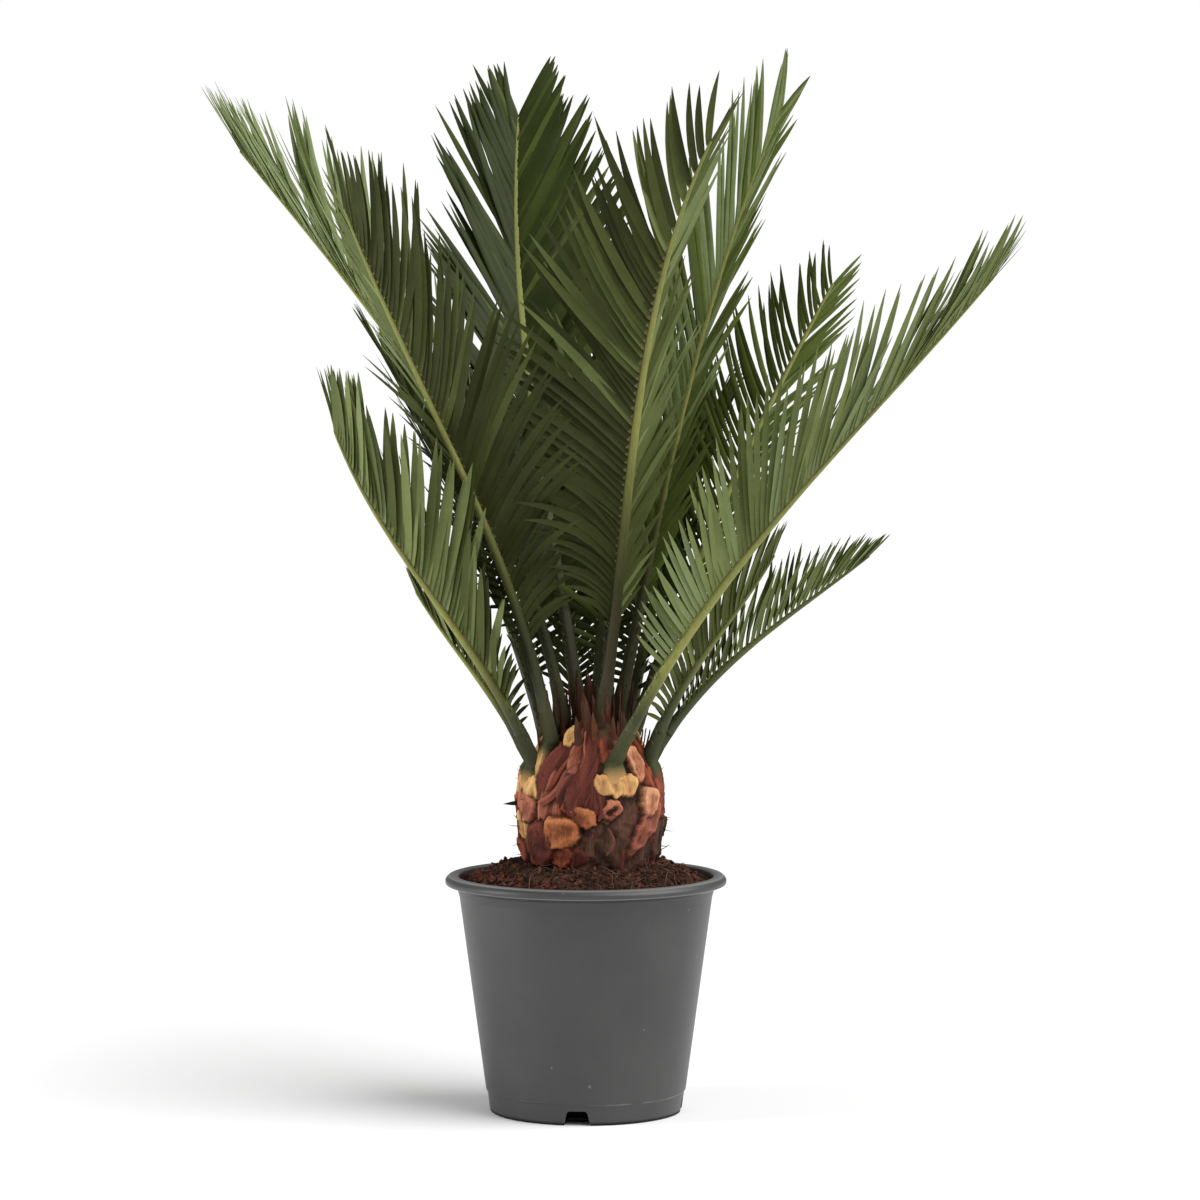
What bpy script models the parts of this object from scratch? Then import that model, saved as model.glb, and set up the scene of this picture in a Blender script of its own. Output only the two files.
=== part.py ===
# A young sago palm (Cycas revoluta) in a round plastic nursery pot.
#
# Units are metres, +Z is up and -Y is the front. The origin is the middle of the pot's flat
# underside. The pot, its compost, the caudex (the short swollen trunk), the bud and every frond
# are separate closed solids that stand about 0.3 mm clear of each other.

import math

import bmesh
import bpy
import numpy as np
from mathutils import Matrix, Vector
from mathutils.bvhtree import BVHTree

# Clearance between neighbouring solids
GAP = 0.0003

# Pot
POT_HEIGHT = 0.143
POT_RIM_RADIUS = 0.085
POT_FOOT_RADIUS = 0.0578
POT_WALL_TOP_RADIUS = 0.0768
POT_BAND_HEIGHT = 0.012
POT_BAND_STEP = 0.0008
POT_WALL = 0.0015
POT_FLOOR = 0.002
POT_RIM_DROP = 0.009
POT_SIDES = 40
DRAIN_COUNT = 4
DRAIN_BEARING = math.radians(265)
DRAIN_WIDTH = 0.0160
DRAIN_TOP_WIDTH = 0.0128
DRAIN_HEIGHT = 0.0088
DRAIN_REACH = 0.014
DRAIN_CUTTER_STANDS_OUT = 0.008

# Compost, mounded round the trunk. Its foot is cut back where the drain slots let air in.
COMPOST_FOOT_CUT = 0.011
COMPOST_EDGE_DROP = 0.006
MOUND_RISE = 0.0075
MOUND_RADIUS = 0.047

# Caudex: the pairs are (radius, height above the compost)
CAUDEX_X = 0.003
CAUDEX_PROFILE = (
    (0.0385, 0.0),
    (0.0410, 0.008),
    (0.0422, 0.022),
    (0.0425, 0.036),
    (0.0425, 0.047),
    (0.0415, 0.0525),
    (0.0325, 0.0565),
    (0.0315, 0.0640),
    (0.0240, 0.0690),
    (0.0230, 0.0770),
    (0.0110, 0.0830),
)
CAUDEX_SIDES = 32
STUMP_ROWS = 4
STUMPS_PER_ROW = 10
STUMP_WIDTH = 0.0185
STUMP_TALL = 0.0165
STUMP_DEPTH = 0.016
STUMP_TOP_SHARE = 0.72
STUMP_STANDS_OUT = 0.0042
STUMP_LEAN = math.radians(24)
STUMP_FIRST_HEIGHT = 0.010
STUMP_ROW_PITCH = 0.0112

# Bud of pointed brown scales in the middle of the crown
BUD_RADIUS = 0.0085
BUD_HEIGHT = 0.034
BUD_SCALES = 7
BUD_SCALE_LENGTH = 0.030
BUD_SCALE_WIDTH = 0.0075
BUD_SCALE_THICKNESS = 0.0026
BUD_SCALE_LEAN = math.radians(7)
BUD_SCALE_FOOT = 0.005

# Frond feet stand on three whorls: radius and height above the compost
WHORLS = {
    "outer": (0.0370, 0.0605),
    "middle": (0.0280, 0.0730),
    "inner": (0.0172, 0.0870),
}

# Rib: (width, thickness) at the foot, above the foot's swelling, at the middle and at the tip
RIB_FOOT = (0.0125, 0.0085)
RIB_STALK = (0.0082, 0.0068)
RIB_MIDDLE = (0.0046, 0.0040)
RIB_TIP = (0.0016, 0.0013)
FOOT_SWELLING = 0.030

# Leaflets: each stands for about two of the real ones. Where they sweep little they are narrow and
# curl less, so that neighbours don't meet.
LEAFLET_PITCH = 0.0135
LEAFLET_THICKNESS = 0.0013
LEAFLET_FILL = 0.74
ROOT_SHARE = 0.62
MID_SHARE = 0.55
TIP_CURL = math.radians(9)
CURL_SHARE = 0.35
STALK_SHARE = 0.16
RIB_SHARE = 0.90

# How leaflets change along the rib, from where they start (0) to its end (1)
ALONG = (0.0, 0.14, 0.36, 0.70, 1.0)
LENGTH_ALONG = (0.28, 0.70, 1.0, 0.86, 0.40)
LIFT_ALONG = (-7, -2, 0, -1, -7)

# Where a leaflet would meet another frond: (change of raise in degrees, share of length) to try
RETRIES = (
    (0, 1), (11, 1), (-11, 1), (22, 1), (-22, 1), (0, 0.8), (15, 0.8), (-15, 0.8),
    (33, 0.8), (0, 0.6), (20, 0.6), (-20, 0.6), (0, 0.42), (25, 0.42), (-25, 0.42),
)  # fmt: skip
LEAFLET_CLEARANCE = 0.0007

# Fronds: the whorl, the bearing of the foot, the frond's own bearing, how far it turns by its
# tip, its rise above the horizon at the foot, the middle and the tip, and its whole length. Angles
# are in degrees, and bearings turn from +X towards +Y. The fronds named first take the space that
# their leaflets need first.
FRONDS = {
    "frond_front_tall": ("inner", 292, 306, 12, (75, 78, 47), 0.402),
    "frond_left_front": ("middle", 212, 213, 1, (79, 62, 69), 0.388),
    "frond_right_long": ("outer", 291, 335, -7, (64, 46, 49), 0.418),
    "frond_back_tall": ("inner", 112, 117, -34, (73, 54, 52), 0.502),
    "frond_left_low": ("outer", 204, 194, 4, (68, 54, 76), 0.261),
    "frond_right_mid": ("middle", 28, 24, -1, (70, 63, 58), 0.343),
    "frond_right_tall": ("inner", 22, 36, 0, (75, 72, 57), 0.440),
    "frond_left_long": ("inner", 180, 162, -2, (82, 54, 49), 0.458),
    "frond_right_low": ("outer", 14, 9, -4, (62, 38, 40), 0.206),
    "frond_back_mid": ("middle", 84, 80, 0, (74, 62, 54), 0.330),
    "frond_back_left": ("outer", 132, 134, 0, (70, 56, 50), 0.330),
    "frond_back_right": ("outer", 58, 60, 0, (72, 60, 50), 0.275),
    "frond_right_short": ("outer", 340, 350, 0, (76, 54, 64), 0.165),
    "frond_left_short": ("outer", 168, 172, 0, (65, 52, 62), 0.140),
    "frond_back_low": ("outer", 97, 104, 0, (64, 46, 42), 0.240),
}  # fmt: skip

# Rows of leaflets, on the side way along x up first and then on the other: the longest leaflet, how
# far the first, middle and last leaflets sweep away from the rib, and how far the row lifts out of
# the frond's plane. Angles are in degrees.
ROWS = {
    "frond_front_tall": ((0.118, 44, 44, 22, 40), (0.100, 40, 20, 11, 12)),
    "frond_left_front": ((0.080, 90, 46, 14, 12), (0.126, 50, 35, 14, 47)),
    "frond_right_long": ((0.112, 68, 24, 12, 45), (0.095, 40, 22, 12, 50)),
    "frond_back_tall": ((0.135, 60, 37, 18, 30), (0.135, 46, 27, 18, 25)),
    "frond_left_low": ((0.104, 46, 38, 18, 47), (0.104, 44, 38, 18, 47)),
    "frond_right_mid": ((0.075, 34, 24, 12, -45), (0.088, 44, 44, 36, 42)),
    "frond_right_tall": ((0.080, 24, 12, 12, -20), (0.122, 34, 18, 16, 40)),
    "frond_left_long": ((0.122, 60, 27, 20, 50), (0.122, 60, 27, 20, 50)),
    "frond_right_low": ((0.056, 56, 50, 18, 47), (0.056, 56, 50, 18, 47)),
    "frond_back_mid": ((0.105, 76, 42, 18, 46), (0.105, 76, 42, 18, 46)),
    "frond_back_left": ((0.105, 76, 42, 18, 46), (0.105, 76, 42, 18, 46)),
    "frond_back_right": ((0.090, 76, 42, 18, 46), (0.090, 76, 42, 18, 46)),
    "frond_right_short": ((0.062, 76, 42, 18, 46), (0.062, 76, 42, 18, 46)),
    "frond_left_short": ((0.048, 76, 42, 18, 46), (0.048, 76, 42, 18, 46)),
    "frond_back_low": ((0.080, 76, 42, 18, 46), (0.080, 76, 42, 18, 46)),
}  # fmt: skip

# Colour, roughness and metallic value of each material
FINISHES = {
    "pot_plastic": ((0.13, 0.13, 0.13), 0.55, 0.0),
    "compost": ((0.045, 0.026, 0.018), 0.95, 0.0),
    "caudex_bark": ((0.22, 0.085, 0.045), 0.85, 0.0),
    "bud_scale": ((0.14, 0.050, 0.035), 0.85, 0.0),
    "frond_green": ((0.055, 0.095, 0.028), 0.45, 0.0),
}

MOUND_TOP = POT_HEIGHT + MOUND_RISE
CAUDEX_FOOT = MOUND_TOP + GAP


def clear_scene():
    for obj in list(bpy.data.objects):
        bpy.data.objects.remove(obj, do_unlink=True)


def new_collection(name):
    collection = bpy.data.collections.new(name)
    bpy.context.scene.collection.children.link(collection)
    return collection


def material(name):
    colour, roughness, metallic = FINISHES[name]
    made = bpy.data.materials.new(name)
    made.use_nodes = True
    shader = made.node_tree.nodes["Principled BSDF"]
    shader.inputs["Base Color"].default_value = (*colour, 1)
    shader.inputs["Roughness"].default_value = roughness
    shader.inputs["Metallic"].default_value = metallic
    return made


def add_object(name, mesh, collection, finish=None):
    obj = bpy.data.objects.new(name, mesh)
    collection.objects.link(obj)
    if finish:
        mesh.materials.append(finish)
    return obj


def mesh_from(bm, name):
    bmesh.ops.recalc_face_normals(bm, faces=bm.faces)
    mesh = bpy.data.meshes.new(name)
    bm.to_mesh(mesh)
    bm.free()
    return mesh


def applied(obj):
    """The object's modifiers are made part of its mesh."""
    graph = bpy.context.evaluated_depsgraph_get()
    mesh = bpy.data.meshes.new_from_object(obj.evaluated_get(graph))
    obj.modifiers.clear()
    obj.data = mesh
    return obj


def turned(name, profile, sides, collection, finish=None):
    """A closed solid turned round the Z axis. The profile runs down its outer side."""
    mesh = bpy.data.meshes.new(name)
    edges = [(i, i + 1) for i in range(len(profile) - 1)]
    mesh.from_pydata([(r, 0, z) for r, z in profile], edges, [])
    obj = add_object(name, mesh, collection, finish)
    screw = obj.modifiers.new("turn", "SCREW")
    screw.steps = screw.render_steps = sides
    screw.use_merge_vertices = True
    screw.merge_threshold = 1e-5
    return applied(obj)


def boolean(obj, operation, cutters):
    """Joins the collection's objects to obj, or cuts them from it, and removes them."""
    modifier = obj.modifiers.new(operation.lower(), "BOOLEAN")
    modifier.operation = operation
    modifier.operand_type = "COLLECTION"
    modifier.collection = cutters
    applied(obj)
    for cutter in list(cutters.objects):
        bpy.data.objects.remove(cutter, do_unlink=True)
    bpy.data.collections.remove(cutters)
    return obj


def pot_wall_radius(z):
    """The pot's outer radius above its stepped foot band."""
    foot = POT_FOOT_RADIUS + POT_BAND_STEP
    top = POT_HEIGHT - POT_RIM_DROP
    return foot + (POT_WALL_TOP_RADIUS - foot) * z / top


def drain_cutter():
    """A block that narrows upwards and cuts through the foot of the pot's wall and its floor."""
    bm = bmesh.new()
    bmesh.ops.create_cube(bm, size=1)
    for vert in bm.verts:
        width = DRAIN_TOP_WIDTH if vert.co.z > 0 else 2 * DRAIN_WIDTH - DRAIN_TOP_WIDTH
        vert.co.y *= width
        vert.co.z *= 2 * DRAIN_HEIGHT
        vert.co.x = DRAIN_CUTTER_STANDS_OUT if vert.co.x > 0 else -DRAIN_REACH
        vert.co.x += POT_FOOT_RADIUS
    return mesh_from(bm, "drain_cutter")


def make_pot(collection, finish):
    lip = POT_HEIGHT - POT_RIM_DROP
    inner_top = pot_wall_radius(POT_HEIGHT) - POT_WALL
    inner_foot = pot_wall_radius(POT_FLOOR) - POT_WALL - POT_BAND_STEP
    profile = (
        (0, POT_FLOOR),
        (inner_foot, POT_FLOOR),
        (inner_top, POT_HEIGHT - 0.0012),
        (inner_top + 0.0012, POT_HEIGHT),
        (POT_RIM_RADIUS - 0.0038, POT_HEIGHT),
        (POT_RIM_RADIUS - 0.0010, POT_HEIGHT - 0.0018),
        (POT_RIM_RADIUS, POT_HEIGHT - 0.0045),
        (POT_RIM_RADIUS - 0.0006, POT_HEIGHT - 0.0075),
        (POT_RIM_RADIUS - 0.0022, lip),
        (POT_WALL_TOP_RADIUS + 0.0006, lip + 0.0004),
        (pot_wall_radius(lip - 0.0012), lip - 0.0012),
        (pot_wall_radius(POT_BAND_HEIGHT + 0.001), POT_BAND_HEIGHT + 0.001),
        (pot_wall_radius(POT_BAND_HEIGHT) - POT_BAND_STEP, POT_BAND_HEIGHT),
        (POT_FOOT_RADIUS + 0.0002, 0.0016),
        (POT_FOOT_RADIUS - 0.0014, 0),
        (0, 0),
    )
    pot = turned("pot", profile, POT_SIDES, collection, finish)
    cutters = new_collection("drain_cutters")
    for i in range(DRAIN_COUNT):
        mesh = drain_cutter()
        bearing = DRAIN_BEARING + 2 * math.pi * i / DRAIN_COUNT
        mesh.transform(Matrix.Rotation(bearing, 4, "Z"))
        add_object(f"drain_cutter_{i}", mesh, cutters)
    return boolean(pot, "DIFFERENCE", cutters)


def compost_height(r):
    """Height of the compost's top at radius r: a flat middle that falls to the pot's wall."""
    edge = pot_wall_radius(POT_HEIGHT) - POT_WALL - GAP
    share = min(max((r - MOUND_RADIUS) / (edge - MOUND_RADIUS), 0), 1)
    fall = MOUND_TOP - (POT_HEIGHT - COMPOST_EDGE_DROP)
    return MOUND_TOP - fall * share**1.3


def make_compost(collection, finish):
    floor = POT_FLOOR + GAP
    foot = pot_wall_radius(POT_FLOOR) - POT_WALL - POT_BAND_STEP - 2 * GAP
    top_edge = POT_HEIGHT - COMPOST_EDGE_DROP
    inner_top = pot_wall_radius(POT_HEIGHT) - POT_WALL
    slope = (inner_top - (foot + 2 * GAP)) / (POT_HEIGHT - 0.0012 - POT_FLOOR)
    edge = foot + slope * (top_edge - floor)
    steps = np.linspace(MOUND_RADIUS, edge, 5)
    surface = [(r, compost_height(r)) for r in steps[:-1]] + [(edge, top_edge)]
    cut = floor + COMPOST_FOOT_CUT
    side = foot + slope * COMPOST_FOOT_CUT
    profile = [(0, MOUND_TOP), *surface, (side, cut), (foot - COMPOST_FOOT_CUT, floor), (0, floor)]
    return turned("compost", profile, POT_SIDES, collection, finish)


def caudex_radius(height):
    """The trunk's radius at a height above the compost, below its first shoulder."""
    radii, heights = zip(*CAUDEX_PROFILE)
    return float(np.interp(height, heights, radii))


def stump(bearing, height):
    """One old leaf base: a four-cornered plug that leans up and out of the trunk."""
    bm = bmesh.new()
    top = 0.5 * STUMP_TOP_SHARE
    bmesh.ops.create_cone(
        bm, cap_ends=True, segments=4, radius1=0.5, radius2=top, depth=STUMP_DEPTH
    )
    lay = Matrix.Rotation(math.pi / 2 - STUMP_LEAN, 4, "Y")
    shape = Matrix.Diagonal((STUMP_TALL, STUMP_WIDTH, 1, 1))
    out = caudex_radius(height) + STUMP_STANDS_OUT - STUMP_DEPTH / 2
    place = Matrix.Translation((out, 0, height))
    turn = Matrix.Translation((CAUDEX_X, 0, CAUDEX_FOOT)) @ Matrix.Rotation(bearing, 4, "Z")
    bmesh.ops.transform(bm, matrix=turn @ place @ lay @ shape, verts=bm.verts)
    return mesh_from(bm, "stump")


def make_caudex(collection, finish):
    profile = [(0, CAUDEX_PROFILE[-1][1] + 0.001), *reversed(CAUDEX_PROFILE)]
    profile += [(CAUDEX_PROFILE[0][0], -0.004), (0, -0.004)]
    caudex = turned("caudex", profile, CAUDEX_SIDES, collection, finish)
    caudex.data.transform(Matrix.Translation((CAUDEX_X, 0, CAUDEX_FOOT)))
    stumps = new_collection("stumps")
    for row in range(STUMP_ROWS):
        height = STUMP_FIRST_HEIGHT + STUMP_ROW_PITCH * row
        for i in range(STUMPS_PER_ROW):
            bearing = 2 * math.pi * (i + 0.5 * (row % 2) + 0.13) / STUMPS_PER_ROW
            add_object(f"stump_{row}_{i}", stump(bearing, height), stumps)
    boolean(caudex, "UNION", stumps)
    ground = new_collection("ground_cutters")
    bm = bmesh.new()
    side = 2 * POT_RIM_RADIUS
    bmesh.ops.create_cube(bm, size=side)
    bmesh.ops.translate(bm, vec=(0, 0, CAUDEX_FOOT - side / 2), verts=bm.verts)
    add_object("ground_cutter", mesh_from(bm, "ground_cutter"), ground)
    return boolean(caudex, "DIFFERENCE", ground)


def bud_scale(bearing, share):
    """One pointed scale that leans out of the bud, with its root well inside it."""
    bm = bmesh.new()
    length = BUD_SCALE_LENGTH * share
    bmesh.ops.create_cone(
        bm, cap_ends=True, segments=4, radius1=0.5, radius2=0.05, depth=length
    )
    shape = Matrix.Diagonal((BUD_SCALE_THICKNESS, BUD_SCALE_WIDTH, 1, 1))
    lean = Matrix.Rotation(BUD_SCALE_LEAN, 4, "Y")
    place = Matrix.Translation((BUD_RADIUS * 0.72, 0, BUD_SCALE_FOOT + length / 2))
    matrix = Matrix.Rotation(bearing, 4, "Z") @ place @ lean @ shape
    bmesh.ops.transform(bm, matrix=matrix, verts=bm.verts)
    return mesh_from(bm, "bud_scale")


def make_bud(collection, finish):
    foot = CAUDEX_PROFILE[-1][1] + 0.001 + GAP
    profile = (
        (0, BUD_HEIGHT),
        (BUD_RADIUS * 0.22, BUD_HEIGHT * 0.86),
        (BUD_RADIUS * 0.72, BUD_HEIGHT * 0.45),
        (BUD_RADIUS, BUD_HEIGHT * 0.16),
        (BUD_RADIUS, 0),
        (0, 0),
    )
    bud = turned("bud", profile, 10, collection, finish)
    scales = new_collection("bud_scales")
    for i in range(BUD_SCALES):
        share = 0.8 + 0.2 * math.cos(2.4 * i)
        mesh = bud_scale(2 * math.pi * i / BUD_SCALES, share)
        add_object(f"bud_scale_{i}", mesh, scales)
    boolean(bud, "UNION", scales)
    bud.data.transform(Matrix.Translation((CAUDEX_X, 0, CAUDEX_FOOT + foot)))
    return bud


def through_three(share, values):
    """The curve that has the three values at 0, 0.5 and 1."""
    start, middle, end = values
    before = start * (1 - share) * (1 - 2 * share)
    return before + middle * 4 * share * (1 - share) + end * share * (2 * share - 1)


class Rib:
    """The course of one frond: its points and its frame, read at a share of its whole length."""

    STEPS = 60

    def __init__(self, rows, whorl, foot_bearing, bearing, turn, rises, length):
        self.length = length
        self.rows = dict(zip((1, -1), rows))
        self.bearing, self.turn, self.rises = bearing, turn, rises
        radius, height = WHORLS[whorl]
        around = math.radians(foot_bearing)
        foot = Vector((CAUDEX_X + radius * math.cos(around), radius * math.sin(around), 0))
        self.points = [foot + Vector((0, 0, CAUDEX_FOOT + height))]
        step = length / self.STEPS
        for i in range(self.STEPS):
            self.points.append(self.points[-1] + self.along((i + 0.5) / self.STEPS) * step)

    def along(self, share):
        rise = math.radians(through_three(share, self.rises))
        bearing = math.radians(self.bearing + self.turn * share)
        flat = math.cos(rise)
        return Vector((flat * math.cos(bearing), flat * math.sin(bearing), math.sin(rise)))

    def frame(self, share):
        """The point, the way along, the way up out of the frond's face, and the way sideways."""
        at = share * self.STEPS
        i = min(int(at), self.STEPS - 1)
        point = self.points[i].lerp(self.points[i + 1], at - i)
        along = self.along(share)
        side = along.cross(Vector((0, 0, 1))).normalized()
        face = side.cross(along).normalized()
        return point, along, face, side

    def swell(self):
        """Where the foot's swelling ends."""
        return min(FOOT_SWELLING / self.length, 0.9 * STALK_SHARE)

    def size(self, share):
        """Width and thickness of the rib."""
        shares = (0, self.swell(), 0.5, RIB_SHARE)
        shapes = (RIB_FOOT, RIB_STALK, RIB_MIDDLE, RIB_TIP)
        return [float(np.interp(share, shares, [s[k] for s in shapes])) for k in (0, 1)]

    def ring(self, share):
        """Four corners of the rib's section, in order round the way along."""
        point, along, face, side = self.frame(share)
        width, thickness = self.size(share)
        corners = ((1, 1), (1, -1), (-1, -1), (-1, 1))
        return [point + side * (width / 2 * b) + face * (thickness / 2 * n) for b, n in corners]


def leaflet_spans(rib):
    """Where each pair of leaflets leaves the rib: (start, end) shares of its length."""
    room = RIB_SHARE - STALK_SHARE
    count = max(8, round(room * rib.length / LEAFLET_PITCH))
    pitch = room / count
    starts = [STALK_SHARE + pitch * i for i in range(count)]
    return [(start, start + pitch * ROOT_SHARE) for start in starts]


def along_rib(place, values):
    return float(np.interp(place, ALONG, values))


def leaflet(rib, start, end, hand, raise_by, shrink):
    """A leaflet's middle section and tip, for the root between two shares of the rib."""
    share = (start + end) / 2
    place = (share - STALK_SHARE) / (RIB_SHARE - STALK_SHARE)
    longest, *sweeps, row_lift = rib.rows[hand]
    sweep = math.radians(through_three(place, sweeps))
    lift = math.radians(row_lift + along_rib(place, LIFT_ALONG) + raise_by)
    length = longest * along_rib(place, LENGTH_ALONG) * shrink
    point, along, face, side = rib.frame(share)
    out = side * (hand * math.cos(lift)) + face * math.sin(lift)

    def heading(angle):
        return along * math.cos(angle) + out * math.sin(angle)

    way = heading(sweep)
    across = heading(sweep - math.pi / 2)
    skin = way.cross(across).normalized() * hand
    root = point + side * (hand * rib.size(share)[0] / 2)
    pitch = (end - start) / ROOT_SHARE * rib.length
    width = LEAFLET_FILL * pitch * math.sin(sweep)
    curl = min(TIP_CURL, sweep * CURL_SHARE)
    middle = root + way * (length * MID_SHARE)
    tip = middle + heading(sweep - curl) * (length * (1 - MID_SHARE))
    half_wide, half_thick = across * (width / 2), skin * (LEAFLET_THICKNESS / 2)
    early = (middle - half_wide + half_thick, middle - half_wide - half_thick)
    late = (middle + half_wide + half_thick, middle + half_wide - half_thick)
    return early, late, tip


def leaflet_shell(root_ring, next_ring, hand, early, late, tip):
    """The corners and faces that a leaflet would have, for testing the space it needs."""
    top, low = (0, 1) if hand > 0 else (3, 2)
    corners = [root_ring[top], root_ring[low], next_ring[low], next_ring[top]]
    corners += [early[0], early[1], late[1], late[0], tip]
    faces = [(i, (i + 1) % 4, 4 + (i + 1) % 4, 4 + i) for i in range(4)]
    faces += [(4 + i, 4 + (i + 1) % 4, 8) for i in range(4)]
    return corners, faces


def loft(bm, rings):
    """A closed tube through the rings. It returns the side faces, ring by ring."""
    rows = [[bm.verts.new(corner) for corner in ring] for ring in rings]
    bm.faces.new(reversed(rows[0]))
    bm.faces.new(rows[-1])
    sides = []
    for row, after in zip(rows, rows[1:]):
        corners = [(j, (j + 1) % 4) for j in range(4)]
        sides.append([bm.faces.new((row[j], row[k], after[k], after[j])) for j, k in corners])
    return sides


def grow_leaflet(bm, face, corners, tip):
    """Draws a side face of the rib out to the leaflet's middle section, and on to its tip."""
    blade = bmesh.ops.extrude_discrete_faces(bm, faces=[face])["faces"][0]
    for vert in blade.verts:
        vert.tag = True
    for vert, corner in zip([loop.vert for loop in blade.loops], corners):
        vert.co = corner
    point = bmesh.ops.extrude_discrete_faces(bm, faces=[blade])["faces"][0]
    bmesh.ops.pointmerge(bm, verts=list(point.verts), merge_co=tip)


def rib_shares(rib):
    """Shares of the rib's length that have a section: its stalk, and each leaflet's root."""
    shares = [0, rib.swell() / 2, rib.swell()]
    for start, end in leaflet_spans(rib):
        shares += [start, end]
    return shares


def tree_of(corners, faces, clearance=0.0):
    return BVHTree.FromPolygons(corners, faces, epsilon=clearance)


def tube_tree(rings):
    corners = [corner for ring in rings for corner in ring]
    faces = []
    for i in range(len(rings) - 1):
        for j in range(4):
            k = (j + 1) % 4
            faces.append((4 * i + j, 4 * i + k, 4 * i + 4 + k, 4 * i + 4 + j))
    return tree_of(corners, faces)


def object_tree(obj):
    corners = [vert.co for vert in obj.data.vertices]
    return tree_of(corners, [tuple(face.vertices) for face in obj.data.polygons])


def seat_foot(rib, trunk):
    """Lowers the rib's foot until its nearest corner is just clear of the trunk."""
    along = rib.along(0)
    point, _, face, side = rib.frame(0)
    width, thickness = rib.size(0)
    drops = []
    for b in np.linspace(-0.5, 0.5, 5):
        for n in np.linspace(-0.5, 0.5, 5):
            start = point + side * (width * b) + face * (thickness * n) + along * 0.02
            hit = trunk.ray_cast(start, -along)
            if hit[0] is not None:
                drops.append((start - hit[0]).length - 0.02)
    drop = min(drops) - 1.5 * GAP
    rib.points = [p - along * drop for p in rib.points]


def make_frond(name, rib, obstacles, collection, finish):
    """One frond: a rib with two rows of leaflets that keep clear of everything built so far."""
    rings = [rib.ring(share) for share in rib_shares(rib)]
    bm = bmesh.new()
    sides = loft(bm, rings)
    first = len(rings) - 2 * len(leaflet_spans(rib))
    corners_kept, faces_kept = [], []
    for i, (start, end) in enumerate(leaflet_spans(rib)):
        at = first + 2 * i
        for hand, face in ((1, sides[at][0]), (-1, sides[at][2])):
            for raise_by, shrink in RETRIES:
                early, late, tip = leaflet(rib, start, end, hand, raise_by, shrink)
                shell, faces = leaflet_shell(rings[at], rings[at + 1], hand, early, late, tip)
                probe = tree_of(shell, faces, LEAFLET_CLEARANCE)
                if not any(probe.overlap(tree) for tree in obstacles):
                    break
            else:
                continue
            if hand > 0:
                section = (early[0], early[1], late[1], late[0])
            else:
                section = (early[1], early[0], late[0], late[1])
            grow_leaflet(bm, face, section, tip)
            base = len(corners_kept)
            corners_kept += shell
            faces_kept += [tuple(base + v for v in f) for f in faces]
    obj = add_object(name, mesh_from(bm, name), collection, finish)
    return obj, tree_of(corners_kept, faces_kept)


def main():
    clear_scene()
    palm = new_collection("sago_palm")
    finishes = {name: material(name) for name in FINISHES}
    pot = make_pot(palm, finishes["pot_plastic"])
    compost = make_compost(palm, finishes["compost"])
    caudex = make_caudex(palm, finishes["caudex_bark"])
    bud = make_bud(palm, finishes["bud_scale"])
    trunk = object_tree(caudex)
    solids = [trunk, object_tree(bud), object_tree(pot), object_tree(compost)]
    ribs = {name: Rib(ROWS[name], *values) for name, values in FRONDS.items()}
    for rib in ribs.values():
        seat_foot(rib, trunk)
    tubes = {
        name: tube_tree([rib.ring(share) for share in rib_shares(rib)])
        for name, rib in ribs.items()
    }
    grown = []
    for name, rib in ribs.items():
        others = [tube for other, tube in tubes.items() if other != name]
        _, leaflets = make_frond(
            name, rib, solids + others + grown, palm, finishes["frond_green"]
        )
        grown.append(leaflets)


main()
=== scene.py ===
import math
import random

import bmesh
import bpy
import numpy as np
from mathutils import Matrix, Vector, noise
from mathutils.bvhtree import BVHTree


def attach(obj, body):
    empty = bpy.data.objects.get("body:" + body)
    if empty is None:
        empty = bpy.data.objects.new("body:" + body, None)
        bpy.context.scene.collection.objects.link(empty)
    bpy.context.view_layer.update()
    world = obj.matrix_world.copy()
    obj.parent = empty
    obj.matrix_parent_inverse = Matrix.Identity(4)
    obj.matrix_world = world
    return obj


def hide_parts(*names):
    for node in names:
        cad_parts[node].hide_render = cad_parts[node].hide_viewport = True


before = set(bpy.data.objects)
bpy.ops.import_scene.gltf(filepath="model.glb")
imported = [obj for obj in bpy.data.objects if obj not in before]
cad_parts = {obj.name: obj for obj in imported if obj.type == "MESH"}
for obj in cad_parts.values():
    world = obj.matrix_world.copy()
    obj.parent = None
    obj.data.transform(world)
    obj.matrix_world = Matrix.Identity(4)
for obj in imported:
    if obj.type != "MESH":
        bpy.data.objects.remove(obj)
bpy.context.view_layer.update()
noise.seed_set(1)  # noise_vector would differ from run to run without it
print("stage: frame loaded")


# Camera

cameraSet = {"place": (0.0085, -2.60, 0.458), "tilt": 86.71, "lens": 129.99, "sensor": 36}


def makeCamera(s):
    data = bpy.data.cameras.new("camera")
    data.sensor_width, data.lens = s["sensor"], s["lens"]
    camera = bpy.data.objects.new("camera", data)
    camera.location = s["place"]
    camera.rotation_euler = (math.radians(s["tilt"]), 0, 0)
    bpy.context.scene.collection.objects.link(camera)
    bpy.context.scene.camera = camera


makeCamera(cameraSet)


# Small helpers for objects and node trees

def addObject(name, mesh):
    piece = bpy.data.objects.new(name, mesh)
    bpy.context.scene.collection.objects.link(piece)
    return piece


def meshFrom(name, verts, faces):
    mesh = bpy.data.meshes.new(name)
    mesh.from_pydata([tuple(v) for v in verts], [], faces)
    mesh.validate()
    return mesh


def clamp(value):
    return min(1.0, max(0.0, value))


def mixTint(first, second, share):
    return tuple(a + (b - a) * share for a, b in zip(first, second))


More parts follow.
